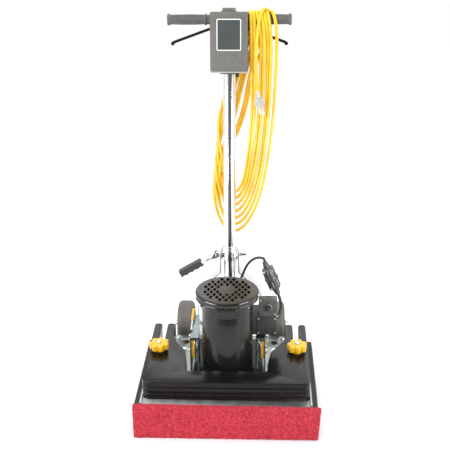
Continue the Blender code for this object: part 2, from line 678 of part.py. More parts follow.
def cam_lever():
    pivot = empty("cam_pivot", (-0.041, PIVOT_Y, PIVOT_Z), (0, math.radians(-121), 0))
    reach = 0.056
    lever = part("cam_lever", cylinders("cam_head", ((0, -0.013, 0), (0, 0.013, 0), 0.0100), segments=32),
                 CHROME, pivot)
    join(lever, boxes("cam_arm", ((-0.0035, -0.0065, 0.006), (0.0035, 0.0065, 0.124))))
    cut(lever, boxes("cam_fork", ((-0.03, -0.0064, -0.03), (0.03, 0.0064, 0.0085))))
    cut(lever, cylinders("cam_bore", ((0, -0.03, 0), (0, 0.03, 0), 0.0033), segments=16))
    grip = turned("cam_grip", [(0, 0.136), (0.007, 0.136), (0.0105, 0.132), (0.0098, 0.116), (0.0108, 0.098),
                               (0.0098, 0.080), (0.0112, reach + 0.004), (0.0112, reach), (0, reach)],
                  BLACK_RUBBER, steps=24, parent=pivot)
    cut(grip, boxes("grip_socket", ((-0.0038, -0.0068, 0.02), (0.0038, 0.0068, 0.1243))))


def switch_box():
    corner = 0.006
    outline = filleted([(BOX_HALF, BOX_HIGH, corner), (-BOX_HALF, BOX_HIGH, corner),
                        (-BOX_HALF, BOX_LOW, corner), (BOX_HALF, BOX_LOW, corner)])
    box = part("switch_box", prism("switch_box", outline, BOX_FRONT, BOX_BACK, "Y"), GREY_PLASTIC, HANDLE_PIVOT)
    inner = BOX_HALF - BOX_WALL
    cut(box, boxes("box_cavity", ((-inner, BOX_FRONT + BOX_WALL, BOX_LOW + BOX_WALL),
                                  (inner, BOX_BACK + 0.01, BOX_HIGH - BOX_WALL))))
    cut(box, cylinders("box_tube_hole", ((0, 0, BOX_LOW - 0.01), (0, 0, BOX_LOW + 0.01), TUBE_RADIUS + GAP),
                       segments=32))
    cut(box, cylinders("box_bar_holes", ((-0.08, 0, GRIP_S), (0.08, 0, GRIP_S), BAR_RADIUS + GAP)))
    lever_slot = (0.0066, LEVER_PIVOT[1] - 0.0055, LEVER_PIVOT[1] + 0.0085)
    cut(box, boxes("box_lever_slots", ((-0.08, -lever_slot[0], lever_slot[1]),
                                       (0.08, lever_slot[0], lever_slot[2]))))
    button = (0.0195, -0.037, -0.015)
    cut(box, boxes("box_button_hole", ((-button[0] - GAP, button[1] - GAP, BOX_HIGH - 0.01),
                                       (button[0] + GAP, button[2] + GAP, BOX_HIGH + 0.01))))
    part("switch_box_cover", prism("switch_box_cover", outline, BOX_BACK + GAP, BOX_BACK + 0.004, "Y"),
         GREY_PLASTIC, HANDLE_PIVOT)
    lockout = part("lockout_button", boxes("lockout_button", ((-button[0], button[1], 0.724),
                                                              (button[0], button[2], BOX_HIGH + 0.011))),
                   GREY_PLASTIC, HANDLE_PIVOT)
    soften(lockout, 0.003)


def grips():
    turned("crossbar", [(0, 0.179), (BAR_RADIUS, 0.179), (BAR_RADIUS, -0.179), (0, -0.179)], STEEL, steps=24,
           parent=HANDLE_PIVOT, location=(0, 0, GRIP_S), rotation=(0, math.radians(90), 0))
    bore = BAR_RADIUS + GAP
    middle = (GRIP_INNER + GRIP_OUTER) / 2
    profile = [(0, GRIP_OUTER), (0.0155, GRIP_OUTER), (0.017, GRIP_OUTER - 0.002), (0.017, GRIP_OUTER - 0.006),
               (0.0138, GRIP_OUTER - 0.010), (0.0146, middle), (0.0138, GRIP_INNER + 0.012),
               (0.017, GRIP_INNER + 0.006), (0.017, GRIP_INNER), (bore, GRIP_INNER), (bore, 0.1795), (0, 0.1795)]
    for side in (1, -1):
        turned(f"grip_{side_name(side)}", profile, GREY_PLASTIC, steps=24, parent=HANDLE_PIVOT,
               location=(0, 0, GRIP_S), rotation=(0, math.radians(90 * side), 0))


def trigger_levers():
    path = [(-0.007, 0.0), (0.020, 0.0), (0.124, -0.0370), (0.1340, -0.0465)]
    for side in (1, -1):
        name = f"trigger_lever_{side_name(side)}"
        outline = thick_path([(side * x, z) for x, z in path], 0.0082)
        lever = part(name, prism(name, outline, -0.006, 0.006, "Y"), BLACK_GLOSS, HANDLE_PIVOT,
                     location=(side * LEVER_PIVOT[0], 0, LEVER_PIVOT[1]))
        soften(lever, 0.001, 1)


# -------------------------------------------------------------------- cables

def power_cord():
    """Turns hung over the right grip, each nested inside the one before."""
    knots = []
    spacing = 0.014
    over = GRIP_S + 0.017 + CORD_RADIUS + 0.003
    shoulder = 0.0185
    for turn in range(CORD_TURNS):
        top_x = 0.078 + spacing * turn
        inset = 0.016 * turn
        knots += [
            (top_x, 0.0, over), (top_x + 0.001, -shoulder, GRIP_S + shoulder),
            (top_x + 0.003, -0.026, GRIP_S - 0.012), (top_x + 0.006, -0.027, 0.600),
            (0.121 - 0.55 * inset, -0.024, 0.430), (0.108 - 0.70 * inset, -0.018, 0.300 + 0.3 * inset),
            (0.072 - 0.50 * inset, 0.004, 0.150 + inset), (0.018, 0.034, 0.072 + inset),
            (-0.030 + 0.50 * inset, 0.042, 0.150 + inset), (-0.044 + 0.75 * inset, 0.042, 0.240 + inset),
            (-0.028 + 0.80 * inset, 0.042, 0.400), (0.004 + 0.85 * inset, 0.042, 0.530),
            (0.036 + 0.80 * inset, 0.044, 0.630), (top_x + 0.004, 0.030, GRIP_S - 0.012),
            (top_x + 0.010, shoulder, GRIP_S + shoulder)]
    knots += [(0.078 + spacing * CORD_TURNS, 0.0, over)]
    part("power_cord", wire("power_cord", smooth_path(knots, 2), CORD_RADIUS), YELLOW_CORD, HANDLE_PIVOT)


def cord_plug():
    turned("cord_plug", [(0, 0.0), (0.006, 0.0), (0.009, -0.014), (0.0165, -0.026), (0.0175, -0.060),
                         (0.0150, -0.074), (0, -0.074)], CLEAR_PLASTIC, steps=24, parent=HANDLE_PIVOT,
           location=(0.0835, -0.058, 0.518), rotation=(0, math.radians(-13), 0))


def motor_cables():
    plug_top = Vector((0.1090, 0.112, 0.4230))
    plug_low = Vector((0.1510, 0.103, 0.3200))
    axis = (plug_low - plug_top).normalized()
    length = (plug_low - plug_top).length
    turned("cable_connector", [(0, length), (0.0075, length), (0.0095, length - 0.016),
                               (0.0165, length - 0.020), (0.0165, length / 2 + 0.002), (0.0185, length / 2 + 0.002),
                               (0.0185, length / 2 - 0.002), (0.0165, length / 2 - 0.002), (0.0155, 0.018),
                               (0.0090, 0.014), (0.0070, 0.0), (0, 0.0)], BLACK_RUBBER, steps=24,
           location=plug_top, rotation=axis.to_track_quat("Z", "Y").to_euler())
    low_end = plug_low + axis * GAP * 2
    box_end = Vector((0.1479, 0.058, 0.268))
    low_path = smooth_path([box_end + Vector((0.004, 0, 0)), (0.1565, 0.066, 0.275), (0.1595, 0.086, 0.291),
                            low_end + axis * 0.010], 5)
    part("motor_cable", wire("motor_cable", [box_end] + low_path + [low_end], 0.004), BLACK_RUBBER)
    high_end = plug_top - axis * GAP * 2
    high_path = smooth_path([(0.0228, 0.186, 0.302), (0.036, 0.184, 0.324), (0.055, 0.176, 0.378),
                             (0.082, 0.152, 0.4170), high_end - axis * 0.010], 5)
    part("handle_cable", wire("handle_cable", high_path + [high_end], 0.004), BLACK_RUBBER)


def shade():
    for made in PARTS.objects:
        if made.type == "MESH":
            made.data.shade_smooth()
            made.data.set_sharp_from_angle(angle=math.radians(35))


pad_head()
deck()
clamps(weights())
motor()
junction_box()
brackets()
cheeks()
wheels()
handle_stem()
cam_lever()
switch_box()
grips()
trigger_levers()
power_cord()
cord_plug()
motor_cables()
shade()
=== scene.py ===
"""Looks of the orbital floor machine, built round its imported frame. Metres, in the CAD model's axes."""
import json
import math
import random

import bmesh
import bpy
import numpy as np
from mathutils import Matrix, Vector, noise


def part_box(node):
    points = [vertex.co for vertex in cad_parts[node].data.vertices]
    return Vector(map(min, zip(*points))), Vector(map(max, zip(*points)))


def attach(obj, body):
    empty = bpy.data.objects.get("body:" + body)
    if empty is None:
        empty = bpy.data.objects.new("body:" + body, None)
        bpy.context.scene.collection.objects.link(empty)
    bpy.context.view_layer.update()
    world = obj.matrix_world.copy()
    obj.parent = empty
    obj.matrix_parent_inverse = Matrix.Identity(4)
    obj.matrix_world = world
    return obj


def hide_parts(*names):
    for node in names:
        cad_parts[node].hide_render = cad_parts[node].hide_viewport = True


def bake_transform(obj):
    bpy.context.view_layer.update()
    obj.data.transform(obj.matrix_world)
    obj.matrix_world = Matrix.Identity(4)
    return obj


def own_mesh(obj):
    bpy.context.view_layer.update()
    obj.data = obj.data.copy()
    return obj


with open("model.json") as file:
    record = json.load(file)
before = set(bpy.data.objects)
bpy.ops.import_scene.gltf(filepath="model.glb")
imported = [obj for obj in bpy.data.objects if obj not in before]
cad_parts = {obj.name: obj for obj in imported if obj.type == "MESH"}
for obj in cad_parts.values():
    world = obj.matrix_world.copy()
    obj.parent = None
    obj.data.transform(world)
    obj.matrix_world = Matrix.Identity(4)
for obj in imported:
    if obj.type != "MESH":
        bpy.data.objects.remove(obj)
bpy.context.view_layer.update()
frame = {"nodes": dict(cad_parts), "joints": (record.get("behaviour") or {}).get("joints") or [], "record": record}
NODES = frame["nodes"]
BODY_OF = {n: body for body, nodes in frame["record"]["behaviour"]["bodies"].items() for n in nodes}
SLOT_OF = {row["node"]: row["material_slot"] for row in frame["record"]["subparts"]}
JOINTS = {joint["name"]: joint for joint in frame["joints"]}
SIDES = (("left", -1), ("right", 1))
QUARTER = math.pi / 2
FORWARD = (0, -1, 0)


# ------------------------------------------------------------- node materials

class Tree:
    """A short way to write a material's nodes. Sockets are given as plain values or as links."""

    def __init__(self, name):
        self.material = bpy.data.materials.new(name)
        self.material.use_nodes = True
        self.tree = self.material.node_tree
        self.shader = self.tree.nodes["Principled BSDF"]
        self.place = self.add("ShaderNodeTexCoord").outputs["Object"]

    def add(self, kind, inputs=None, **settings):
        made = self.tree.nodes.new(kind)
        for key, value in settings.items():
            setattr(made, key, value)
        for key, value in (inputs or {}).items():
            self.put(made.inputs[key], value)
        return made

    def put(self, socket, value):
        if isinstance(value, bpy.types.NodeSocket):
            self.tree.links.new(value, socket)
        else:
            socket.default_value = value

    def set(self, **values):
        for key, value in values.items():
            self.put(self.shader.inputs[key.replace("_", " ")], value)

    def stretched(self, scale):
        return self.add("ShaderNodeMapping", {"Vector": self.place, "Scale": scale}).outputs["Vector"]

    def noise(self, scale, detail=3.0, rough=0.5, place=None):
        return self.add("ShaderNodeTexNoise", {"Vector": place or self.place, "Scale": scale,
                                               "Detail": detail, "Roughness": rough}).outputs["Fac"]

    def cells(self, scale, feature="F1"):
        return self.add("ShaderNodeTexVoronoi", {"Vector": self.place, "Scale": scale},
                        feature=feature).outputs["Distance"]

    def ramp(self, fac, *stops):
        made = self.add("ShaderNodeValToRGB", {"Fac": fac})
        band = made.color_ramp
        while len(band.elements) < len(stops):
            band.elements.new(0.5)
        for element, (at, value) in zip(band.elements, stops):
            element.position = at
            element.color = (*value, 1.0) if isinstance(value, tuple) else (value, value, value, 1.0)
        return made.outputs["Color"]

    def spread(self, fac, low, high, start=0.25, end=0.75):
        made = self.add("ShaderNodeMapRange", {"Value": fac, "From Min": start, "From Max": end,
                                               "To Min": low, "To Max": high})
        return made.outputs["Result"]

    def mix(self, fac, a, b):
        made = self.add("ShaderNodeMix", data_type="RGBA")
        self.put(made.inputs[0], fac)
        self.put(made.inputs[6], a)
        self.put(made.inputs[7], b)
        return made.outputs[2]

    def maths(self, kind, a, b):
        return self.add("ShaderNodeMath", {0: a, 1: b}, operation=kind).outputs[0]

    def bump(self, *heights):
        """Each height is (value, depth in metres)."""
        normal = None
        for value, depth in heights:
            inputs = {"Height": value, "Distance": depth, "Strength": 1.0}
            if normal:
                inputs["Normal"] = normal
            normal = self.add("ShaderNodeBump", inputs).outputs["Normal"]
        self.put(self.shader.inputs["Normal"], normal)

    def edges(self, reach=0.0012):
        """About 1 within reach of an edge and 0 elsewhere."""
        turned = self.add("ShaderNodeBevel", {"Radius": reach}, samples=6).outputs["Normal"]
        flat = self.add("ShaderNodeNewGeometry").outputs["Normal"]
        like = self.add("ShaderNodeVectorMath", {0: turned, 1: flat},
                        operation="DOT_PRODUCT").outputs["Value"]
        return self.ramp(like, (0.8, 1.0), (0.97, 0.0))


def tinted(colour, factor):
    return tuple(min(1.0, c * factor) for c in colour)


def rgba(colour):
    return (*colour, 1.0)


def coated(name, colour, roughness, tone=0.2, tone_scale=35.0, grain=900.0, grain_depth=0.00004, edge_colour=None,
           edge_share=0.5, scuffs=0.06, **extra):
    """Paint, plastic or rubber: blotches of tone, fine grain, scuffs and patchy edges of another colour, which are
    worn paint and, on the black weight plates, partly a painted highlight along the lit plate edges.
    """
    made = Tree(name)
    blotch = made.noise(tone_scale, 4.0, 0.6)
    base = made.ramp(blotch, (0.3, tinted(colour, 1 - tone)), (0.7, tinted(colour, 1 + tone)))
    # Patchy edges of the given colour: wear, and for the black plates partly a painted highlight.
    if edge_colour:
        edge_marks = made.maths("MULTIPLY", made.edges(), made.ramp(made.noise(tone_scale * 6, 3.0), (0.42, 0.0),
                                                               (0.6, edge_share)))
        base = made.mix(edge_marks, base, rgba(edge_colour))
    streaks = made.noise(14.0, 5.0, 0.7, made.stretched((1.0, 1.0, 5.0)))
    made.set(Base_Color=base, Roughness=made.spread(streaks, roughness - scuffs, roughness + scuffs),
             Metallic=0.0, **extra)
    made.bump((made.noise(grain, 2.0), grain_depth))
    return made.material


def cover_paint():
    """Brown-black paint: glossy round the drawn shoulder and dulled by dust on the flat top."""
    made = Tree("cover_brown_black")
    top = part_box("fan_cover")[1].z
    height = made.add("ShaderNodeSeparateXYZ", {"Vector": made.place}).outputs["Z"]
    dust = made.spread(height, 0.0, 1.0, top - 0.003, top - 0.0004)
    blotch = made.noise(16.0, 5.0, 0.65)
    base = made.ramp(blotch, (0.32, (0.006, 0.0045, 0.0035)), (0.68, (0.022, 0.0155, 0.011)))
    edge_marks = made.maths("MULTIPLY", made.edges(), made.ramp(made.noise(96.0, 3.0), (0.42, 0.0), (0.6, 0.6)))
    base = made.mix(edge_marks, base, rgba((0.1, 0.07, 0.05)))
    rough = made.maths("ADD", made.spread(dust, 0.13, 0.34, 0.0, 1.0), made.spread(blotch, -0.03, 0.05))
    made.set(Base_Color=base, Roughness=rough, Specular_IOR_Level=0.55)
    made.bump((made.noise(260.0, 2.0), 0.00001))
    return made.material


def metal(name, colour, roughness, tone=0.1, tone_scale=25.0, brushed=(1.0, 1.0, 1.0), brush_scale=250.0,
          scratch=0.00001, stain=None, edge_highlight=None, painted_shade_within=None):
    """Bare or plated metal: drawn or ground lines, patches of tone, dull spots, edges painted pale as a highlight
    and, where a reach is given, painted shade on everything nearer x = 0 than it.
    """
    made = Tree(name)
    lines = made.noise(brush_scale, 3.0, 0.6, made.stretched(brushed))
    patches = made.noise(tone_scale, 5.0, 0.65)
    base = made.ramp(patches, (0.3, tinted(colour, 1 - tone)), (0.7, tinted(colour, 1 + tone)))
    if stain:
        base = made.mix(made.ramp(made.noise(tone_scale * 0.6, 3.0), (0.5, 0.0), (0.72, 0.6)), base,
                        rgba(stain))
    # Painted highlight: the edges turn pale, standing for light caught along them.
    if edge_highlight:
        base = made.mix(made.edges(0.0016), base, rgba(edge_highlight))
    # Painted shade: surfaces nearer x = 0 than the given reach turn near black, standing for the shadow on the
    # brackets' inner legs.
    if painted_shade_within:
        across = made.add("ShaderNodeSeparateXYZ", {"Vector": made.place}).outputs["X"]
        away = made.maths("ABSOLUTE", across, 0.0)
        base = made.mix(made.ramp(away, (painted_shade_within, 1.0), (painted_shade_within + 0.001, 0.0)), base,
                        rgba((0.02, 0.024, 0.024)))
    rough = made.maths("ADD", made.spread(lines, 0.0, 0.12),
                       made.spread(patches, roughness, roughness + 0.08))
    made.set(Base_Color=base, Metallic=1.0, Roughness=rough)
    made.bump((lines, scratch))
    return made.material


def red_fibre():
    """Non-woven scouring fibre: crossing strands, open pores and pale tufts."""
    made = Tree("fibre_red")
    strands = [made.add("ShaderNodeTexNoise", {"Vector": made.stretched(stretch), "Scale": 260.0,
                                               "Detail": 5.0, "Roughness": 0.65,
                                               "Distortion": 2.2}).outputs["Fac"]
               for stretch in ((1.0, 1.0, 0.3), (0.3, 1.0, 1.0))]
    web = made.maths("MAXIMUM", *strands)
    pores = made.cells(190.0)
    clumps = made.noise(125.0, 4.0, 0.7)
    deep, mid, pale = (0.2, 0.002, 0.009), (0.5, 0.014, 0.036), (0.84, 0.11, 0.15)
    base = made.ramp(web, (0.44, deep), (0.55, mid), (0.7, pale))
    base = made.mix(made.ramp(clumps, (0.44, 0.9), (0.54, 0.0)), base, rgba((0.33, 0.005, 0.02)))
    base = made.mix(made.ramp(pores, (0.25, 0.0), (0.75, 0.4)), base, rgba((0.76, 0.06, 0.085)))
    made.set(Base_Color=base, Roughness=made.spread(web, 0.98, 0.8), Sheen_Weight=0.06, Sheen_Roughness=0.6,
             Sheen_Tint=rgba((1.0, 0.5, 0.55)), Specular_IOR_Level=0.25)
    made.bump((web, 0.0012), (pores, 0.0008))
    return made.material


def cord_jacket():
    made = Tree("cord_jacket")
    patches = made.noise(18.0, 3.0)
    grime = made.noise(55.0, 5.0, 0.7)
    base = made.ramp(patches, (0.35, (0.89, 0.5, 0.008)), (0.65, (0.94, 0.6, 0.024)))
    base = made.mix(made.ramp(grime, (0.6, 0.0), (0.8, 0.4)), base, rgba((0.6, 0.29, 0.01)))
    made.set(Base_Color=base, Roughness=made.spread(grime, 0.28, 0.42), Subsurface_Weight=0.05,
             Subsurface_Scale=0.003, Specular_IOR_Level=0.5)
    made.bump((made.noise(700.0, 2.0), 0.00006))
    return made.material


def clear_plastic():
    made = Tree("plug_clear")
    haze = made.noise(90.0, 3.0)
    made.set(Base_Color=made.ramp(haze, (0.3, (0.74, 0.73, 0.76)), (0.7, (0.9, 0.89, 0.91))),
             Roughness=made.spread(haze, 0.08, 0.2), Transmission_Weight=0.6, IOR=1.46)
    made.bump((haze, 0.0001))
    return made.material


def grained_plastic(name, colour, roughness):
    """Moulded plastic with a leather-like spark texture."""
    made = Tree(name)
    pebbles = made.cells(430.0, "SMOOTH_F1")
    specks = made.noise(330.0, 3.0, 0.75)
    blotch = made.noise(22.0, 4.0)
    base = made.ramp(specks, (0.36, tinted(colour, 0.62)), (0.5, colour), (0.66, tinted(colour, 1.6)))
    base = made.mix(made.ramp(blotch, (0.35, 0.0), (0.7, 0.35)), base, rgba(tinted(colour, 1.2)))
    base = made.mix(made.maths("MULTIPLY", made.edges(), 0.35), base, rgba(tinted(colour, 1.9)))
    made.set(Base_Color=base, Roughness=made.spread(blotch, roughness - 0.05, roughness + 0.08))
    made.bump((pebbles, 0.00022), (specks, 0.0001))
    return made.material


FINISH = {
    "red_fibre": red_fibre(),
    "grey_steel": metal("deck_grey", (0.36, 0.365, 0.355), 0.34, 0.18, 30.0, (0.15, 3.0, 1.0), 140.0, 0.00002),
    "black_rubber": coated("rubber_black", (0.026, 0.026, 0.028), 0.58, 0.3, 40.0, 1100.0, 0.00006,
                           edge_colour=(0.1, 0.1, 0.1), edge_share=0.5),
    # The pale plate edges are partly chipped paint and partly a painted highlight for the light along each plate's
    # top edge.
    "black_plate": coated("plate_black", (0.0075, 0.0072, 0.0068), 0.21, 0.22, 26.0, 1500.0, 0.00002,
                          edge_colour=(0.42, 0.37, 0.34), edge_share=0.9, scuffs=0.05, Specular_IOR_Level=0.22),
    "black_gloss": coated("paint_black", (0.011, 0.0108, 0.0102), 0.26, 0.25, 18.0, 180.0, 0.000003,
                          edge_colour=(0.07, 0.065, 0.06), edge_share=0.4, scuffs=0.05, Coat_Weight=0.4, Coat_Roughness=0.07,
                          Specular_IOR_Level=0.2),
    "yellow_plastic": coated("knob_yellow", (0.9, 0.5, 0.014), 0.34, 0.1, 60.0, 900.0, 0.00003,
                             edge_colour=(0.98, 0.78, 0.3), edge_share=0.35, Subsurface_Weight=0.06, Subsurface_Scale=0.003),
    "yellow_urethane": coated("urethane_yellow", (0.9, 0.5, 0.02), 0.42, 0.12, 50.0, 700.0, 0.00005),
    "yellow_cord": cord_jacket(),
    # The zinc's pale edges are a painted highlight.
    "zinc": metal("zinc_plate", (0.76, 0.79, 0.8), 0.2, 0.1, 45.0, (1.0, 1.0, 0.2), 300.0, 0.00002,
                  stain=(0.56, 0.63, 0.66), edge_highlight=(0.93, 0.94, 0.94)),
    "chrome": metal("chrome_plate", (0.79, 0.8, 0.81), 0.03, 0.04, 20.0, (1.0, 1.0, 0.04), 500.0, 0.000002),
    "steel": metal("steel_turned", (0.5, 0.5, 0.51), 0.25, 0.15, 30.0, (1.0, 1.0, 6.0), 300.0),
    "laminated_steel": metal("steel_stack", (0.3, 0.25, 0.2), 0.4, 0.2, 40.0, (0.05, 0.05, 8.0), 260.0, 0.0001),
    "aluminium": metal("alu_cast", (0.56, 0.57, 0.59), 0.36, 0.12, 60.0, (1.0, 1.0, 1.0), 500.0, 0.00006),
    "tyre_grey": coated("tyre_grey", (0.125, 0.112, 0.098), 0.58, 0.22, 30.0, 800.0, 0.00008,
                        edge_colour=(0.24, 0.22, 0.2), edge_share=0.4, scuffs=0.1),
    "grey_plastic": grained_plastic("plastic_grey", (0.125, 0.124, 0.112), 0.5),
    "clear_plastic": clear_plastic(),
    "red_plastic": coated("button_red", (0.46, 0.02, 0.015), 0.3, 0.15, 60.0, 900.0, 0.00003),
}
COVER_PAINT = cover_paint()
# The brackets' zinc, darker and bluer than the plain zinc. Its inner legs carry painted shade and its pale edges a
# painted highlight.
DARK_ZINC = metal("zinc_shaded", (0.3, 0.345, 0.36), 0.24, 0.2, 45.0, (1.0, 1.0, 0.2), 300.0, 0.00002,
                  stain=(0.16, 0.24, 0.27), edge_highlight=(0.92, 0.94, 0.94), painted_shade_within=0.088)
CASE = coated("case_olive", (0.085, 0.082, 0.068), 0.42, 0.2, 60.0, 800.0, 0.00006, edge_colour=(0.2, 0.2, 0.18))
PLUG_RUBBER = coated("plug_rubber", (0.075, 0.078, 0.078), 0.3, 0.3, 90.0, 900.0, 0.00006,
                     edge_colour=(0.34, 0.35, 0.35), edge_share=0.8)
GRIP_RUBBER = coated("grip_rubber", (0.105, 0.105, 0.1), 0.52, 0.2, 45.0, 1200.0, 0.00005,
                     edge_colour=(0.2, 0.2, 0.19), edge_share=0.4)
CAM_RUBBER = coated("cam_rubber", (0.05, 0.05, 0.046), 0.5, 0.25, 60.0, 1200.0, 0.00006,
                    edge_colour=(0.13, 0.13, 0.12))
PANEL = coated("panel_slate", (0.062, 0.072, 0.072), 0.34, 0.08, 30.0, 1500.0, 0.00001)
PANEL_EDGE = coated("panel_white", (0.82, 0.83, 0.83), 0.3, 0.04, 30.0, 1500.0, 0.00001)
# A lighter copy of the box's grey plastic for the lip under the switch box: a painted highlight for the light band
# along the box's lower edge.
LIP_HIGHLIGHT_PAINT = coated("lip_painted_highlight", (0.42, 0.42, 0.4), 0.4, 0.12, 40.0)
TERMINAL = coated("terminal_green", (0.1, 0.42, 0.32), 0.4, 0.2, 120.0)
PRONG = metal("prong_bright", (0.8, 0.76, 0.68), 0.16, 0.1, 60.0)
HUB_PLASTIC = coated("hub_grey", (0.06, 0.057, 0.055), 0.5, 0.2, 50.0, 900.0, 0.00005,
                     edge_colour=(0.16, 0.15, 0.14))


# ------------------------------------------------------------------ mesh code

def to_mesh(bm):
    """The finished mesh, with its faces turned outwards."""
    bmesh.ops.recalc_face_normals(bm, faces=bm.faces)
    mesh = bpy.data.meshes.new("mesh")
    bm.to_mesh(mesh)
    bm.free()
    return mesh


def lathe(profile, steps=64, wave=None):
    """Turned about Z from (radius, height) pairs, or triples with a share of the depth that wave(turn) gives."""
    bm = bmesh.new()
    rings = []
    for radius, height, *share in profile:
        if radius < 1e-6:
            rings.append([bm.verts.new((0, 0, height))])
            continue
        ring = []
        for step in range(steps):
            turn = 2 * math.pi * step / steps
            reach = radius - share[0] * wave(turn) if wave and share else radius
            ring.append(bm.verts.new((reach * math.cos(turn), reach * math.sin(turn), height)))
        rings.append(ring)
    pairs = list(zip(rings, rings[1:]))
    if len(rings[0]) > 1 and len(rings[-1]) > 1:
        pairs.append((rings[-1], rings[0]))
    for a, b in pairs:
        if len(a) == len(b) == 1:
            continue
        for i in range(steps):
            j = (i + 1) % steps
            corners = []
            for vert in (a[i % len(a)], a[j % len(a)], b[j % len(b)], b[i % len(b)]):
                if vert not in corners:
                    corners.append(vert)
            bm.faces.new(corners)
    return to_mesh(bm)


def flutes(count, depth):
    """Even grooves round a lathed form."""
    return lambda turn: depth * (1 - math.cos(count * turn)) / 2


def rounded(corners, closed=True, steps=4):
    """An outline whose corners (a, b, radius) are rounded with arcs."""
    outline = []
    for index, (a, b, *radius) in enumerate(corners):
        here = Vector((a, b))
        ends = not closed and index in (0, len(corners) - 1)
        if ends or not radius or radius[0] == 0:
            outline.append((a, b))
            continue
        before = Vector(corners[index - 1][:2]) - here
        after = Vector(corners[(index + 1) % len(corners)][:2]) - here
        half = before.angle(after) / 2
        reach = min(radius[0] / math.tan(half), before.length * 0.499, after.length * 0.499)
        bulge = reach * math.tan(half)
        centre = here + (before.normalized() + after.normalized()).normalized() * bulge / math.sin(half)
        first = here + before.normalized() * reach - centre
        turn = first.angle_signed(here + after.normalized() * reach - centre)
        for step in range(steps + 1):
            arm = first.copy()
            arm.rotate(Matrix.Rotation(-turn * step / steps, 2))
            outline.append(tuple(centre + arm))
    return outline


def turned(corners, steps=64, closed=True):
    """A lathed form whose outline has rounded corners."""
    return lathe(rounded(corners, closed), steps)


def washer(inner, outer, thick, soft, steps=40):
    return turned([(inner, 0), (outer, 0, soft), (outer, thick, soft), (inner, thick)], steps)


def drum(radius, low, high):
    """A plain cylinder about Z, mostly for cutting."""
    return lathe([(0, low), (radius, low), (radius, high), (0, high)], 96)


PLANES = {
    "Z": Matrix.Identity(4),
    "Y": Matrix(((1, 0, 0, 0), (0, 0, 1, 0), (0, 1, 0, 0), (0, 0, 0, 1))),
    "X": Matrix(((0, 0, 1, 0), (1, 0, 0, 0), (0, 1, 0, 0), (0, 0, 0, 1))),
}


def prism(outline, low, high, along="Z"):
    bm = bmesh.new()
    base = [bm.verts.new((a, b, low)) for a, b in outline]
    top = [bm.verts.new((a, b, high)) for a, b in outline]
    bm.faces.new(base)
    bm.faces.new(top[::-1])
    count = len(outline)
    for i in range(count):
        bm.faces.new((base[i], top[i], top[(i + 1) % count], base[(i + 1) % count]))
    mesh = to_mesh(bm)
    mesh.transform(PLANES[along])
    bm = bmesh.new()
    bm.from_mesh(mesh)
    return to_mesh(bm)


def centred(half, ys, zs, radius=0.0, segments=3):
    """A slab that is centred on x = 0."""
    return slab((-half, ys[0], zs[0]), (half, ys[1], zs[1]), radius, segments)


def slab(low, high, radius=0.0, segments=3):
    low, high = Vector(low), Vector(high)
    bm = bmesh.new()
    bmesh.ops.create_cube(bm, size=1.0,
                          matrix=Matrix.Translation((low + high) / 2) @ Matrix.Diagonal((*(high - low), 1.0)))
    if radius:
        bmesh.ops.bevel(bm, geom=bm.edges[:], offset=radius, segments=segments, affect="EDGES", profile=0.5)
    return to_mesh(bm)


def sweep(path, radius, sides=12):
    """A round wire along a path, with frames that don't twist and closed ends."""
    path = [Vector(p) for p in path]
    bm = bmesh.new()
    rings = []
    normal = None
    for index, here in enumerate(path):
        ahead = (path[min(index + 1, len(path) - 1)] - path[max(index - 1, 0)]).normalized()
        if normal is None:
            normal = ahead.orthogonal().normalized()
        normal = (normal - ahead * normal.dot(ahead)).normalized()
        across = ahead.cross(normal)
        rings.append([bm.verts.new(here + (normal * math.cos(turn) + across * math.sin(turn)) * radius)
                      for turn in (2 * math.pi * s / sides for s in range(sides))])
    for a, b in zip(rings, rings[1:]):
        for i in range(sides):
            j = (i + 1) % sides
            bm.faces.new((a[i], a[j], b[j], b[i]))
    bm.faces.new(rings[0][::-1])
    bm.faces.new(rings[-1])
    return to_mesh(bm)


def spline(knots, steps):
    """A smooth line through the knots, with the given number of steps between two of them."""
    knots = [Vector(knot) for knot in knots]
    ends = [2 * knots[0] - knots[1]] + knots + [2 * knots[-1] - knots[-2]]
    path = []
    for a, b, c, d in zip(ends, ends[1:], ends[2:], ends[3:]):
        for step in range(steps):
            t = step / steps
            path.append(0.5 * (2 * b + (c - a) * t + (2 * a - 5 * b + 4 * c - d) * t ** 2
                               + (3 * b - a - 3 * c + d) * t ** 3))
    path.append(knots[-1])
    return path


def coil(radius, low, high, turns, wire):
    """A spring's wire about Z."""
    per_turn = 14
    count = turns * per_turn
    path = [(radius * math.cos(2 * math.pi * i / per_turn), radius * math.sin(2 * math.pi * i / per_turn),
             low + (high - low) * i / count) for i in range(count + 1)]
    return sweep(path, wire, 6)


def merged(*meshes):
    bm = bmesh.new()
    for mesh in meshes:
        bm.from_mesh(mesh)
    return to_mesh(bm)


def moved(mesh, matrix):
    copy = mesh.copy()
    copy.transform(matrix)
    return copy


def spun(mesh, turn):
    return moved(mesh, Matrix.Rotation(turn, 4, "Z"))


def mirrored(mesh, side):
    """The mesh itself for side 1 and its mirror image for side -1."""
    return moved(mesh, Matrix.Diagonal((side, 1, 1, 1)))


def aimed(at, along=(0, 0, 1), spin=0.0):
    """A matrix that puts local Z along a direction, at a point."""
    turn = Vector(along).to_track_quat("Z", "Y").to_matrix().to_4x4()
    return Matrix.Translation(at) @ turn @ Matrix.Rotation(spin, 4, "Z")


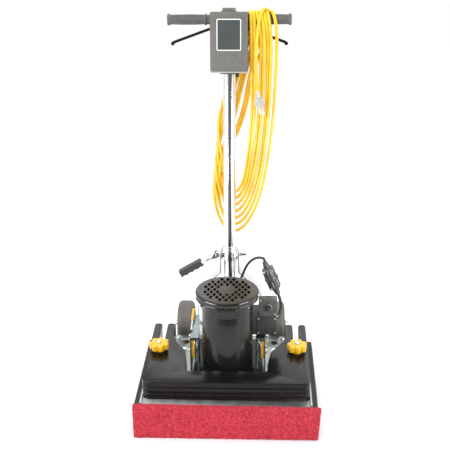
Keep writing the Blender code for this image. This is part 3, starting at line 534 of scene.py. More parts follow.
def carved(mesh, *tools, operation="DIFFERENCE"):
    """The mesh after exact booleans with the tools."""
    scene = bpy.context.scene.collection
    body = bpy.data.objects.new("carve", mesh)
    scene.objects.link(body)
    holders = [body]
    for tool in tools:
        holder = bpy.data.objects.new("tool", tool)
        scene.objects.link(holder)
        holders.append(holder)
        step = body.modifiers.new("cut", "BOOLEAN")
        step.operation = operation
        step.object = holder
    result = bpy.data.meshes.new_from_object(body.evaluated_get(bpy.context.evaluated_depsgraph_get()))
    for holder in holders:
        bpy.data.objects.remove(holder, do_unlink=True)
    return result


def rod(start, end, radius, steps=32):
    start, span = Vector(start), Vector(end) - Vector(start)
    return moved(lathe([(0, 0), (radius, 0), (radius, span.length), (0, span.length)], steps),
                 aimed(start, span))


# ------------------------------------------------------------------ piece code

def piece(name, mesh, body, finish, place=None, bevel=0.0, segments=2, angle=35, stands_for=(), slot=None):
    """A shown piece of the machine that rides on a body. finish is a slot's name or a material."""
    if place is not None:
        mesh.transform(place)
    made = bpy.data.objects.new(name, mesh)
    bpy.context.scene.collection.objects.link(made)
    mesh.materials.clear()
    mesh.materials.append(FINISH[finish] if isinstance(finish, str) else finish)
    mesh.shade_smooth()
    if bevel:
        step = made.modifiers.new("soften", "BEVEL")
        step.width = bevel
        step.segments = segments
        step.limit_method = "ANGLE"
        step.angle_limit = math.radians(30)
        step.harden_normals = True
    else:
        mesh.set_sharp_from_angle(angle=math.radians(angle))
    if body:
        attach(made, body)
    if stands_for:
        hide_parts(*([stands_for] if isinstance(stands_for, str) else stands_for))
    return made


def form(node, mesh, finish=None, place=None, **options):
    """A piece that stands for a CAD node, on its body. With a material for a finish it also hands the node's slot
    name to piece.
    """
    if finish is not None and not isinstance(finish, str):
        options["slot"] = SLOT_OF[node]
    return piece(f"{node}_form", mesh, BODY_OF[node], finish or SLOT_OF[node], place, stands_for=node,
                 **options)


def clean_copy(node):
    """The CAD node's own form, with its flat faces made whole again."""
    bm = bmesh.new()
    bm.from_mesh(NODES[node].data)
    bmesh.ops.remove_doubles(bm, verts=bm.verts, dist=0.00002)
    bmesh.ops.dissolve_limit(bm, angle_limit=math.radians(0.6), verts=bm.verts, edges=bm.edges)
    return to_mesh(bm)


def softened(node, bevel, segments=2, finish=None):
    """A piece that stands for a CAD node, with the same form and rounded edges."""
    return piece(f"{node}_form", clean_copy(node), BODY_OF[node], finish or SLOT_OF[node], bevel=bevel,
                 segments=segments, stands_for=node, slot=SLOT_OF[node])


def hex_head(width, height, washer=0.0):
    """A hexagon head with a washer under it, standing on z = 0."""
    thick = 0.0011 if washer else 0.0
    meshes = []
    if washer:
        meshes.append(lathe(rounded([(0, 0), (washer, 0, 0.0003), (washer, thick, 0.0003), (0, thick)], False,
                                    2), 28))
    radius = width / 2 / math.cos(math.pi / 6)
    outline = [(radius * math.cos(math.pi * k / 3), radius * math.sin(math.pi * k / 3)) for k in range(6)]
    cap = lathe([(0, thick), (radius * 1.05, thick), (radius * 1.05, thick + height * 0.8),
                 (width / 2 * 0.93, thick + height), (0, thick + height)], 36)
    meshes.append(carved(prism(outline, thick, thick + height + 0.001), cap, operation="INTERSECT"))
    return merged(*meshes)


def nut_and_stud(width, height, stud, reach, washer):
    """A nut on a washer, with the stud's threaded end standing out of it."""
    return merged(hex_head(width, height, washer), threaded(stud, height, height + reach))


def threaded(radius, low, high, pitch=0.0012):
    profile = [(0, low)]
    count = max(2, int((high - low) / pitch))
    for index in range(count):
        at = low + (high - low) * index / count
        profile += [(radius * 0.86, at), (radius, at + (high - low) / count * 0.5)]
    profile += [(radius * 0.86, high - 0.0003), (radius * 0.7, high), (0, high)]
    return lathe(profile, 20)


def pan_head(radius, height):
    """A domed screw head with a cross recess."""
    dome = lathe([(0, 0), (radius, 0), (radius, height * 0.35), (radius * 0.86, height * 0.78),
                  (radius * 0.5, height), (0, height * 1.03)], 28)
    slot = radius * 0.16
    arm = radius * 0.62
    cross = [slab((-arm, -slot, height * 0.35), (arm, slot, height * 2)),
             slab((-slot, -arm, height * 0.35), (slot, arm, height * 2))]
    return carved(dome, *cross)


def fasteners(name, mesh, body, finish, places, place=None):
    """One piece of several like fasteners. Each place is a point, a direction and a spin."""
    copies = [moved(mesh, aimed(at, along, spin)) for at, along, spin in places]
    return piece(name, merged(*copies), body, finish, place=place, angle=30)


def around(radius, height, turns, up=False):
    """Places on a circle about Z for fasteners that face outwards, or up."""
    return [((radius * math.cos(t), radius * math.sin(t), height),
             (0, 0, 1) if up else (math.cos(t), math.sin(t), 0), t) for t in turns]


SCREW = pan_head(0.0036, 0.0022)
SMALL_SCREW = pan_head(0.0026, 0.0016)
BOLT = hex_head(0.013, 0.0055, 0.0105)
SMALL_BOLT = hex_head(0.01, 0.0045, 0.008)


# ------------------------------------------------------------------- pad head

def fibre_block(node, step, corner, lumps, seed, lean=0.0):
    """A block of scouring fibre with rounded edges and an uneven surface. lean cuts it out of square."""
    low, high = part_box(node)
    inner_low, inner_high = low + Vector((corner,) * 3), high - Vector((corner,) * 3)
    bm = bmesh.new()
    counts = [max(2, round((high[i] - low[i]) / step)) for i in range(3)]
    for axis in range(3):
        a, b = [i for i in range(3) if i != axis]
        for side in (low, high):
            grid = []
            for i in range(counts[a] + 1):
                row = []
                for j in range(counts[b] + 1):
                    at = Vector()
                    at[axis] = side[axis]
                    at[a] = low[a] + (high[a] - low[a]) * i / counts[a]
                    at[b] = low[b] + (high[b] - low[b]) * j / counts[b]
                    row.append(bm.verts.new(at))
                grid.append(row)
            for i in range(counts[a]):
                for j in range(counts[b]):
                    bm.faces.new((grid[i][j], grid[i + 1][j], grid[i + 1][j + 1], grid[i][j + 1]))
    bmesh.ops.remove_doubles(bm, verts=bm.verts, dist=step * 0.05)
    shift = Vector((seed, seed * 0.7, seed * 1.3))
    sunk = sum(size for _, size in lumps) * 0.35
    for vert in bm.verts:
        core = Vector([min(max(vert.co[i], inner_low[i]), inner_high[i]) for i in range(3)])
        out = vert.co - core
        if out.length > 1e-9:
            out.normalize()
        at = vert.co + shift
        depth = sum(noise.noise(at * scale) * size for scale, size in lumps) - sunk
        vert.co = core + out * (corner + depth)
        if lean:
            right, up = (vert.co.x - low.x) / (high.x - low.x), (vert.co.z - low.z) / (high.z - low.z)
            vert.co += Vector((lean * right * up, 0,
                               lean * (up * (1 - 0.6 * right) + 0.4 * right * (1 - up))))
    return to_mesh(bm)


def strands(node, count, reach, seed):
    """Loose fibres that stand a little off the front and the edges of a block."""
    low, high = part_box(node)
    draw = random.Random(seed)
    tufts = bmesh.new()
    for _ in range(count):
        on_top = draw.random() < 0.3
        at = Vector((draw.uniform(low.x + 0.004, high.x - 0.004), draw.uniform(low.y + 0.001, high.y - 0.003),
                     high.z - 0.0012)) if on_top else Vector((draw.uniform(low.x + 0.003, high.x - 0.003),
                                                              low.y + 0.001,
                                                              draw.uniform(low.z + 0.003, high.z - 0.001)))
        out = Vector((0, 0, 1)) if on_top else Vector((0, -1, 0))
        across = Vector((draw.uniform(-1, 1), 0.4 * draw.uniform(-1, 1) if on_top else 0,
                         0 if on_top else draw.uniform(-1, 1))).normalized()
        length = draw.uniform(0.4, 1.0) * reach
        bow = out.cross(across) * draw.uniform(-0.35, 0.35) * length
        lift = draw.uniform(0.0004, 0.0016)
        path = [at + across * length * (t - 0.5) + (out * lift + bow) * math.sin(math.pi * t) - out * 0.0006
                for t in (0, 0.25, 0.5, 0.75, 1)]
        thick = draw.uniform(0.00022, 0.0004)
        fibre = sweep(path, thick, 3)
        tufts.from_mesh(fibre)
        bpy.data.meshes.remove(fibre)
    return to_mesh(tufts)


LUMPS = ((28.0, 0.0009), (120.0, 0.0008), (310.0, 0.0009))
strip = piece("pad_strip", fibre_block("splash_strip", 0.0022, 0.0022, LUMPS, 3.1, 0.0062), "chassis",
              "red_fibre", angle=180, stands_for="splash_strip")
tufts = piece("pad_strip_strands", strands("splash_strip", 1500, 0.011, 5), "chassis", "red_fibre", angle=180)
# The fibre gives a little as the lowest weight slides over it; here the strip and its strands only get meshes of
# their own.
for soft in (strip, tufts):
    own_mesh(soft)
piece("floor_pad_body", fibre_block("floor_pad", 0.0042, 0.0025, LUMPS, 9.7), "pad_driver", "red_fibre",
      angle=180, stands_for="floor_pad")

deck_low, deck_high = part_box("deck_plate")
skirt_low, skirt_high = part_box("side_skirt_right")
softened("deck_plate", 0.0009)
for label, side in SIDES:
    softened(f"side_skirt_{label}", 0.0006)
    rail = slab((0.2424, deck_low.y + 0.001, deck_high.z + 0.0001),
                (0.2471, skirt_high.y - 0.002, deck_high.z + 0.0052), 0.0006)
    piece(f"deck_rail_{label}", mirrored(rail, side), "chassis", "aluminium")
    bar = slab((skirt_high.x + 0.0001, skirt_low.y + 0.012, 0.08),
               (skirt_high.x + 0.0021, skirt_high.y - 0.012, 0.094), 0.0006)
    piece(f"skirt_clamp_{label}", mirrored(bar, side), "chassis", "aluminium")
    fasteners(f"skirt_screws_{label}", SCREW, "chassis", "steel",
              [((side * (skirt_high.x + 0.002), y, 0.087), (side, 0, 0), 0.4 * k)
               for k, y in enumerate((-0.15, -0.068, 0.014, 0.096, 0.168))])
for number in (1, 2, 3):
    softened(f"weight_plate_{number}", 0.0014, 3)

for place in ("front_left", "rear_left", "front_right", "rear_right"):
    low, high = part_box(f"isolator_{place}")
    span = high.z - low.z
    waist = turned([(0, 0), (0.019, 0, 0.0008), (0.019, 0.003, 0.0008), (0.015, 0.01, 0.006),
                    (0.015, span - 0.01, 0.006), (0.019, span - 0.003, 0.0008), (0.019, span, 0.0008),
                    (0, span)], 48, False)
    form(f"isolator_{place}", waist, "black_rubber",
         Matrix.Translation(((low.x + high.x) / 2, (low.y + high.y) / 2, low.z)))


def knob(height):
    """A lobed clamping knob with rounded shoulders, a sunk ring on top and a neck below."""
    lobes, lobe_depth = 7, 0.0088
    neck, rim = 0.0168, 0.0042
    rows = [(0.0066, 0.0, 0), (neck - 0.0006, 0.0, 0), (neck, 0.0006, 0), (neck, 0.0056, 0),
            (neck + 0.002, 0.0066, 0.2)]
    head_low, core = 0.0068, 0.0307 - rim
    for turn in map(math.radians, (0, 30, 60, 90)):
        rows.append((core + rim * math.sin(turn), head_low + rim - rim * math.cos(turn), 1))
    for turn in map(math.radians, (0, 22, 45, 67, 90)):
        rows.append((core + rim * math.cos(turn), height - rim + rim * math.sin(turn), 1))
    rows += [(0.0205, height + 0.0006, 0.45), (0.015, height + 0.0003, 0), (0.0136, height - 0.0016, 0),
             (0.0105, height - 0.0016, 0), (0.0096, height - 0.0002, 0), (0.0066, height + 0.0002, 0)]
    return lathe(rows, 168, lambda turn: lobe_depth * (1 - abs(math.cos(lobes * turn / 2))) ** 0.85)


for label, side in SIDES:
    low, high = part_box(f"clamp_knob_{label}")
    stud_low, stud_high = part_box(f"clamp_stud_{label}")
    middle = (stud_low + stud_high) / 2
    at = Matrix.Translation((middle.x, middle.y, low.z))
    form(f"clamp_knob_{label}", knob(high.z - low.z), "yellow_plastic",
         at @ Matrix.Rotation(0.35 * side, 4, "Z"), angle=50)
    piece(f"knob_insert_{label}", hex_head(0.015, 0.0028), f"knob_{label}", "steel",
          at @ Matrix.Translation((0, 0, high.z - low.z - 0.0014)))
    form(f"clamp_stud_{label}", threaded(0.006, 0, stud_high.z - stud_low.z, 0.0016), "chrome",
         Matrix.Translation((middle.x, middle.y, stud_low.z)))
    piece(f"knob_washer_{label}", washer(0.0068, 0.015, 0.0014, 0.0004), f"knob_{label}", "zinc",
          at @ Matrix.Translation((0, 0, -0.00005)))


# ----------------------------------------------------------------------- motor

flange_low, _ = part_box("motor_flange")
shell_low, shell_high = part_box("motor_housing")
cover_low, cover_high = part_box("fan_cover")
SHELL = shell_high.x

form("motor_flange", turned([(0.0098, flange_low.z), (0.0808, flange_low.z, 0.001),
                             (0.0808, flange_low.z + 0.01, 0.002), (0.0768, flange_low.z + 0.0175, 0.003),
                             (0.0768, 0.1282, 0.0008), (0.0706, 0.1282), (0.0706, 0.134, 0.0006),
                             (0.0662, 0.134), (0.0662, 0.128), (0.0205, 0.128), (0.0205, 0.11),
                             (0.0098, 0.11)], 96), "black_gloss")
shell = turned([(SHELL, shell_low.z, 0.0006), (SHELL, 0.1345), (SHELL - 0.0008, 0.1355),
                (SHELL - 0.0008, 0.137), (SHELL, 0.138), (SHELL, shell_high.z, 0.0006),
                (SHELL - 0.0036, shell_high.z), (SHELL - 0.0036, shell_low.z)], 128)
piece("motor_shell", shell, "chassis", "black_gloss", stands_for="motor_housing")

SHROUD = 0.0768
top, foot, outer, wall = cover_high.z, cover_low.z, cover_high.x, 0.0018
bell = turned([(0.0097, 0.346), (0.03, 0.346, 0.003), (0.068, 0.3355, 0.002), (0.0728, 0.3375, 0.001),
               (0.0728, foot + 0.0035, 0.0006), (outer - 0.003, foot + 0.0035, 0.0004),
               (outer - 0.003, foot + 0.002, 0.0004), (SHROUD, foot + 0.002, 0.0006), (SHROUD, 0.334, 0.0006),
               (SHROUD - 0.0006, 0.3334), (SHROUD - 0.0006, 0.3262, 0.0006), (0.0755, 0.3254),
               (0.0205, 0.3254), (0.0205, 0.34), (0.0097, 0.34)], 128)
boss = slab((0.07, -0.0255, 0.3385), (SHROUD + 0.0008, 0.0255, foot + 0.0014), 0.0012, 2)
ear = slab((0.074, -0.005, foot - 0.005), (outer - 0.0024, 0.005, foot + 0.003), 0.001, 2)
pads = [spun(boss, QUARTER * turn) for turn in range(4)] + [spun(ear, QUARTER * turn) for turn in (0, 2)]
form("motor_top_bell", carved(bell, *pads, operation="UNION"), "black_gloss", angle=30)

# The fan cover: a drawn cap with round shoulders, a rolled foot, a lattice of slots and three notches.
skin = [(0, top), (outer - 0.0012, top, 0.0112), (outer - 0.0018, foot + 0.0052, 0.0012),
        (outer, foot + 0.0044, 0.0016), (outer, foot, 0.0022), (outer - 0.005, foot, 0.0006),
        (outer - 0.005, foot + 0.0012, 0.0006), (outer - 0.0012 - wall, foot + 0.0014, 0.001),
        (outer - 0.0012 - wall, top - wall, 0.0095), (0, top - wall)]
cover = lathe(rounded(skin, False, 9), 144)
slots = bmesh.new()
step_x, step_y = 0.009, 0.0165
diamond = Matrix.Diagonal((0.0062, 0.0118, 1, 1))
for row in range(-5, 6):
    for column in range(-9, 10):
        x, y = column * step_x, row * step_y
        if (row + column) % 2 or not 0.019 < math.hypot(x, y) < 0.0715:
            continue
        bmesh.ops.create_cone(slots, cap_ends=True, segments=4, radius1=1.0, radius2=1.0, depth=0.02,
                              matrix=Matrix.Translation((x, y, top)) @ diamond)
notch = rounded([(-0.0285, foot - 0.01), (-0.0285, foot + 0.0004), (-0.0225, foot + 0.0072, 0.002),
                 (0.0225, foot + 0.0072, 0.002), (0.0285, foot + 0.0004), (0.0285, foot - 0.01)])
notch = prism(notch, 0.07, 0.11, "X")
notches = [spun(notch, QUARTER * turn) for turn in (0, 2, 3)]
form("fan_cover", carved(cover, to_mesh(slots), *notches), COVER_PAINT, bevel=0.0004)
fasteners("bell_screws", SMALL_SCREW, "chassis", "black_rubber",
          around(SHROUD - 0.0006, 0.3298, (-QUARTER, 0.6, 2.6)))
fasteners("bell_lug_screws", SMALL_SCREW, "chassis", "steel", around(SHROUD, 0.348, (3.72, 5.7)))
fasteners("motor_tie_nuts", nut_and_stud(0.008, 0.0035, 0.0024, 0.003, 0.0062), "chassis", "zinc",
          around(0.056, 0.3392, [QUARTER * k for k in (0.5, 1.5, 2.5, 3.5)], up=True))
fasteners("flange_bolts", SMALL_BOLT, "chassis", "zinc",
          around(0.0885, deck_high.z, [QUARTER * k for k in (2.5, 3.5)], up=True))
vane_low, vane_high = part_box("cooling_fan")
vanes = bmesh.new()
for index in range(9):
    path = [(0.018 + 0.046 * t, 0.01 * t * t, 0) for t in (0, 0.25, 0.5, 0.75, 1)]
    outline = [(x, y + 0.0008) for x, y, _ in path] + [(x, y - 0.0008) for x, y, _ in reversed(path)]
    vanes.from_mesh(spun(prism(outline, vane_low.z + 0.002, vane_high.z - 0.001), math.tau * index / 9))
plate = turned([(0.0084, vane_low.z), (0.0655, vane_low.z, 0.0008), (0.0655, vane_low.z + 0.0028, 0.0008),
                (0.02, vane_low.z + 0.0028, 0.001), (0.016, vane_high.z - 0.001, 0.001),
                (0.0084, vane_high.z - 0.001)])
form("cooling_fan", merged(plate, to_mesh(vanes)), "black_rubber")


# ---------------------------------------------------------- junction box, plugs

box_low, box_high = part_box("junction_box")
reset_low, reset_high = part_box("reset_button")
reset = (reset_low + reset_high) / 2
case_top, front = 0.2925, 0.008
lower = carved(slab((0.052, front, box_low.z), (box_high.x, 0.085, case_top), 0.0022),
               drum(SHELL + 0.0004, 0.2, 0.32))
seam = slab((0.085, front - 0.01, box_low.z - 0.01), (0.0859, front + 0.0012, case_top + 0.01))
lower = carved(lower, seam)
bottom_of_lid = slab((0.0862, front - 0.001, box_low.z + 0.002),
                     (box_high.x - 0.002, front + 0.0004, case_top - 0.002), 0.0006)
# The overload case stands on the box. It has a slot and, lower down, the reset button in a round collar.
case_form = slab((0.0925, front + 0.002, case_top - 0.001),
                 (box_high.x - 0.0008, front + 0.026, box_high.z), 0.002)
slot = slab((reset.x - 0.0042, front - 0.01, 0.3375), (reset.x + 0.0042, front + 0.006, 0.3405), 0.0008)
socket = rod((reset.x, -0.02, reset.z), (reset.x, front + 0.0135, reset.z), 0.007)
collar = moved(turned([(0.0068, 0.0), (0.0128, 0.0, 0.0005), (0.0128, 0.0022, 0.0008), (0.011, 0.003, 0.0006),
                       (0.011, 0.0062, 0.0018), (0.0068, 0.0062, 0.0008)]),
               aimed((reset.x, front + 0.0021, reset.z), FORWARD))
form("junction_box", merged(lower, bottom_of_lid, collar), "black_rubber", angle=30)
piece("overload_case_form", carved(case_form, slot, socket), "chassis", CASE, slot="black_rubber", angle=30)
ring = turned([(0.0112, 0.0), (0.0124, 0.0), (0.0124, 0.0012, 0.0005), (0.0112, 0.0012, 0.0005)])
piece("reset_ring", moved(ring, aimed((reset.x, front - 0.0001, reset.z), FORWARD)), "chassis", "steel")
form("reset_button", turned([(0, 0), (0.0062, 0, 0.001), (0.0062, 0.016, 0.0022), (0, 0.0165)], 48, False),
     coated("reset_black", (0.03, 0.03, 0.03), 0.22, edge_colour=(0.2, 0.2, 0.2)),
     aimed((reset.x, reset_high.y, reset.z), FORWARD))
places = [((x, front - 0.0009, z), FORWARD, 0.3 * k)
          for k, (x, z) in enumerate(((0.092, 0.2375), (0.1415, 0.2375), (0.092, 0.285), (0.1415, 0.285)))]
places.append(((box_high.x, 0.016, case_top - 0.004), (1, 0, 0), 0.2))
fasteners("junction_box_screws", SMALL_SCREW, "chassis", "zinc", places)
fasteners("overload_case_screws", SMALL_SCREW, "chassis", "zinc",
          [((x, front + 0.0021, z), FORWARD, 0.5 * k)
           for k, (x, z) in enumerate(((0.0975, 0.3435), (0.1415, 0.2985)))])

plug_top = Vector((0.109, 0.112, 0.423))
plug_foot = Vector((0.151, 0.103, 0.32))
plug_axis = (plug_foot - plug_top).normalized()
plug_length = (plug_foot - plug_top).length
LUG_TURNS, LUG_INSET = (0.5, 3.6), 0.0265


def connector(length):
    """Two halves of a twist-lock connector: ribbed boots, fluted bodies and a flanged joint."""
    def boot(start, way):
        rows = [(0.0001, 0), (0.0052, 0)]
        at = 0.0
        for ring in range(5):
            size = 0.0062 + 0.0007 * ring
            rows += [(size, at + 0.0004), (size, at + 0.0024), (size - 0.0016, at + 0.0028),
                     (size - 0.0016, at + 0.0036)]
            at += 0.004
        rows += [(0.0108, at), (0.0112, at + 0.002), (0.0001, at + 0.002)]
        return [(r, start + way * h) for r, h in rows]
    middle = length / 2
    halves = [lathe(boot(0.0, 1), 40), lathe(boot(length, -1), 40)]
    body = [(0.0001, 0.0195), (0.011, 0.0195, 0), (0.014, 0.021, 0.3), (0.0158, 0.024, 1), (0.0164, 0.032, 1),
            (0.0164, middle - 0.0075, 1), (0.015, middle - 0.0062, 0), (0.015, middle - 0.0042, 0),
            (0.0182, middle - 0.0034, 0), (0.0186, middle - 0.0006, 0), (0.0172, middle, 0), (0.0001, middle)]
    halves.append(lathe(body, 96, flutes(12, 0.0016)))
    halves.append(lathe([(r, length - h, *s) for r, h, *s in body], 96, flutes(10, 0.002)))
    for turn in LUG_TURNS:
        for at in (LUG_INSET, length - LUG_INSET):
            lug = slab((0.012, -0.0045, at - 0.0045), (0.0178, 0.0045, at + 0.0045), 0.0014, 2)
            halves.append(spun(lug, turn))
    return merged(*halves)


plug_place = aimed(plug_top, plug_axis) @ Matrix.Diagonal((1.18, 1.18, 1, 1))
form("cable_connector", connector(plug_length), PLUG_RUBBER, plug_place, angle=40)
fasteners("connector_screws", SMALL_SCREW, "chassis", "zinc",
          [place for turn in LUG_TURNS for at in (LUG_INSET, plug_length - LUG_INSET)
           for place in around(0.0178, at, (turn,))], plug_place)

gland = Vector((box_high.x, 0.058, 0.268))
cable_path = spline([gland - Vector((0.003, 0, 0)), gland + Vector((0.007, 0.001, 0)), (0.1575, 0.067, 0.275),
                     (0.1605, 0.086, 0.29), plug_foot + plug_axis * 0.011, plug_foot - plug_axis * 0.002], 10)
form("motor_cable", sweep(cable_path, 0.0047, 16), "black_rubber")
piece("motor_cable_gland", turned([(0.0044, -0.001), (0.0092, -0.001), (0.0092, 0.003, 0.0006),
                                   (0.0072, 0.0042, 0.0006), (0.0062, 0.0095, 0.001), (0.0044, 0.0095)], 40),
      "chassis", "black_rubber", aimed(gland, (1, 0.1, 0)))


# ------------------------------------------------------------- yoke and wheels

pivot = Vector(JOINTS["handle_tilt"]["pos_m"])
for label, side in SIDES:
    softened(f"yoke_bracket_{label}", 0.0007, finish=DARK_ZINC)
    softened(f"yoke_cheek_{label}", 0.0007)
    low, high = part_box(f"yoke_bracket_{label}")
    wall_out, wall_in = max(abs(low.x), abs(high.x)), min(abs(low.x), abs(high.x))
    damper_low, damper_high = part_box(f"yoke_damper_{label}")
    thin, thick = sorted((abs(damper_low.x), abs(damper_high.x)))
    block = slab((thin, damper_low.y, damper_low.z), (thick, damper_high.y, damper_high.z), 0.0016)
    form(f"yoke_damper_{label}", mirrored(block, side), "yellow_urethane")
    fasteners(f"bracket_bolts_{label}", SMALL_BOLT, "chassis", "zinc",
              [((side * wall_out, y, z), (side, 0, 0), 0.3 * k)
               for k, (y, z) in enumerate(((0.024, 0.165), (0.052, 0.165), (0.04, 0.205)))])
    spring_at = Vector((side * (wall_in + 0.0078), 0.012, 0))
    piece(f"bracket_spring_{label}", coil(0.0042, 0.126, 0.205, 13, 0.0008), "chassis", "chrome",
          Matrix.Translation(spring_at))
    guide = rod(spring_at + Vector((0, 0, deck_high.z + 0.0035)), spring_at + Vector((0, 0, 0.2185)),
                0.0024, 20)
    piece(f"bracket_spring_rod_{label}", guide, "chassis", "steel")
    link = [(side * 0.1128, y, 0.2235 + 0.12 * (y - 0.05)) for y in (0.04, 0.08, 0.12, 0.16)]
    piece(f"bracket_link_{label}", sweep(link, 0.0021, 20), "chassis", "chrome")
    sleeve_line = [Vector(link[1]).lerp(Vector(link[2]), t) for t in (0.35, 1.0, 1.9)]
    piece(f"bracket_link_sleeve_{label}", sweep(sleeve_line, 0.0042, 28), "chassis", "yellow_urethane")
    fasteners(f"bracket_link_nuts_{label}", hex_head(0.008, 0.004, 0.0052), "chassis", "black_rubber",
              [(link[-1], (0, 1, 0.12), 0.2), (link[0], (0, -1, -0.12), 0.5)])
    fasteners(f"deck_bolts_{label}", BOLT, "chassis", "zinc",
              [((side * 0.142, 0.128, deck_high.z), (0, 0, 1), 0.4),
               ((side * 0.115, 0.205, deck_high.z), (0, 0, 1), 0.9),
               ((side * 0.165, 0.205, deck_high.z), (0, 0, 1), 0.1)])
    cheek_low, cheek_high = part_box(f"yoke_cheek_{label}")
    arm = max(abs(cheek_low.x), abs(cheek_high.x))
    fasteners(f"cheek_rivets_{label}", pan_head(0.0048, 0.0024), "chassis", "zinc",
              [((side * arm, y, z), (side, 0, 0), 0.7)
               for y, z in ((0.15, 0.15), (0.196, 0.18), (0.19, 0.136))])

# A thin black rubber sheet on the deck round the motor: painted shade, standing for the shadow that lies on the
# deck there.
shade_sheet = centred(0.114, (0.004, 0.2), (deck_high.z + 0.0001, deck_high.z + 0.0014), 0.0004, 2)
piece("deck_shade_sheet", carved(shade_sheet, drum(0.0815, 0.09, 0.12)), "chassis", "black_rubber", angle=30)

axle_low, axle_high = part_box("wheel_axle")
axle = (axle_low + axle_high) / 2
softened("wheel_axle", 0.001, finish="steel")
for label, side in SIDES:
    low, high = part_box(f"wheel_tyre_{label}")
    middle = (low + high) / 2
    half, radius = (high.x - low.x) / 2, (high.z - low.z) / 2
    place = aimed(middle, (side, 0, 0))
    rim = 0.0563
    profile = [(rim, half - 0.0006), (rim + 0.0065, half, 0.0015), (radius - 0.0075, half - 0.0012, 0.003),
               (radius, half - 0.0085, 0.009)]
    for groove in (0.4, 0.0, -0.4):
        at = groove * half
        profile += [(radius, at + 0.0009), (radius - 0.0006, at + 0.0005), (radius - 0.0006, at - 0.0005),
                    (radius, at - 0.0009)]
    profile += [(radius, -half + 0.0085, 0.009), (radius - 0.0075, -half + 0.0012, 0.003),
                (rim + 0.0065, -half, 0.0015), (rim, -half + 0.0006)]
    form(f"wheel_tyre_{label}", lathe(rounded(profile, True, 6), 128), "tyre_grey", place)
    hub_low, hub_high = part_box(f"wheel_hub_{label}")
    inner_end = -((middle.x - hub_low.x) if side > 0 else (hub_high.x - middle.x))
    bore, boss = 0.0083, 0.0165
    dish = lathe(rounded([(bore, half + 0.004), (0.0135, half + 0.004, 0.001), (boss, half + 0.001, 0.001),
                          (boss, 0.0065, 0.003), (rim - 0.0055, 0.0045, 0.004),
                          (rim - 0.005, half - 0.004, 0.001), (rim - 0.0003, half - 0.002, 0.001),
                          (rim - 0.0003, -half + 0.002, 0.001), (rim - 0.005, -half + 0.004, 0.001),
                          (rim - 0.0055, -0.0045, 0.004), (boss, -0.0065, 0.003), (boss, inner_end, 0.001),
                          (bore, inner_end)], True, 3), 96)
    ribs = [dish]
    for index in range(6):
        for way in (1, -1):
            outline = [(boss - 0.002, 0), (boss - 0.002, way * (half - 0.004)),
                       (rim - 0.003, way * (half - 0.011)), (rim - 0.003, 0)]
            ribs.append(spun(prism(outline, -0.0016, 0.0016, "Y"), math.tau * index / 6))
    form(f"wheel_hub_{label}", merged(*ribs), HUB_PLASTIC, place, angle=28)
    outer_face = middle.x + side * (half + 0.0041)
    piece(f"axle_washer_{label}", washer(0.0083, 0.0125, 0.0014, 0.0003), "chassis", "zinc",
          aimed((outer_face, axle.y, axle.z), (side, 0, 0)))
    pin = [(0, y, z) for y, z in ((0, -0.0155), (0, 0.0105), (0.0016, 0.0128), (0, 0.015), (-0.0016, 0.0128),
                                  (-0.0004, 0.0105))]
    pin_at = Matrix.Translation((outer_face + side * 0.004, axle.y, axle.z))
    piece(f"axle_cotter_{label}", sweep(spline(pin, 5), 0.0011, 8), "chassis", "steel",
          pin_at @ Matrix.Rotation(0.5 * side, 4, "X"))
    nut = moved(hex_head(0.019, 0.006, 0.0135), aimed((side * (arm - 0.0042), axle.y, axle.z), (-side, 0, 0)))
    piece(f"axle_nut_{label}", nut, "chassis", "zinc", angle=30)


# ------------------------------------------------------------------ handle stem

LEAN = math.radians(8.8)
HANDLE = Matrix.Translation(pivot) @ Matrix.Rotation(-LEAN, 4, "X")
TUBE, WALL = 0.019, 0.002
TUBE_LOW, TUBE_HIGH = -0.098, 0.655


def on_handle(name, mesh, finish, **options):
    """A piece that rides on the handle, made in the handle's upright axes."""
    return piece(name, mesh, "handle", finish, HANDLE, **options)


tube = turned([(TUBE, TUBE_HIGH), (TUBE, TUBE_LOW, 0.0006), (TUBE - WALL, TUBE_LOW, 0.0006),
               (TUBE - WALL, TUBE_HIGH)], 128)
form("handle_tube", tube, "chrome", HANDLE)
block = carved(turned([(0, -0.018), (0.0238, -0.018, 0.002), (0.0238, 0.02, 0.002), (0, 0.02)], 96, False),
               centred(0.0255, (-0.0105, 0.0235), (-0.017, 0.019), 0.003), operation="UNION")
sleeve = turned([(TUBE + 0.0003, 0.0195), (TUBE + 0.003, 0.0195), (TUBE + 0.003, 0.027, 0.001),
                 (TUBE + 0.0003, 0.027)], 96)
slit = centred(0.001, (-0.03, -0.017), (-0.03, 0.05))
form("handle_collar", merged(carved(block, drum(TUBE + 0.0002, -0.05, 0.05), slit), sleeve), "chrome", HANDLE,
     angle=30)
fasteners("collar_screws", hex_head(0.007, 0.003), "handle", "zinc",
          [((side * 0.0175, -0.0162, z), (side * 0.6, -1, 0), 0.2 + side)
           for side in (-1, 1) for z in (-0.0105, 0.0125)], HANDLE)

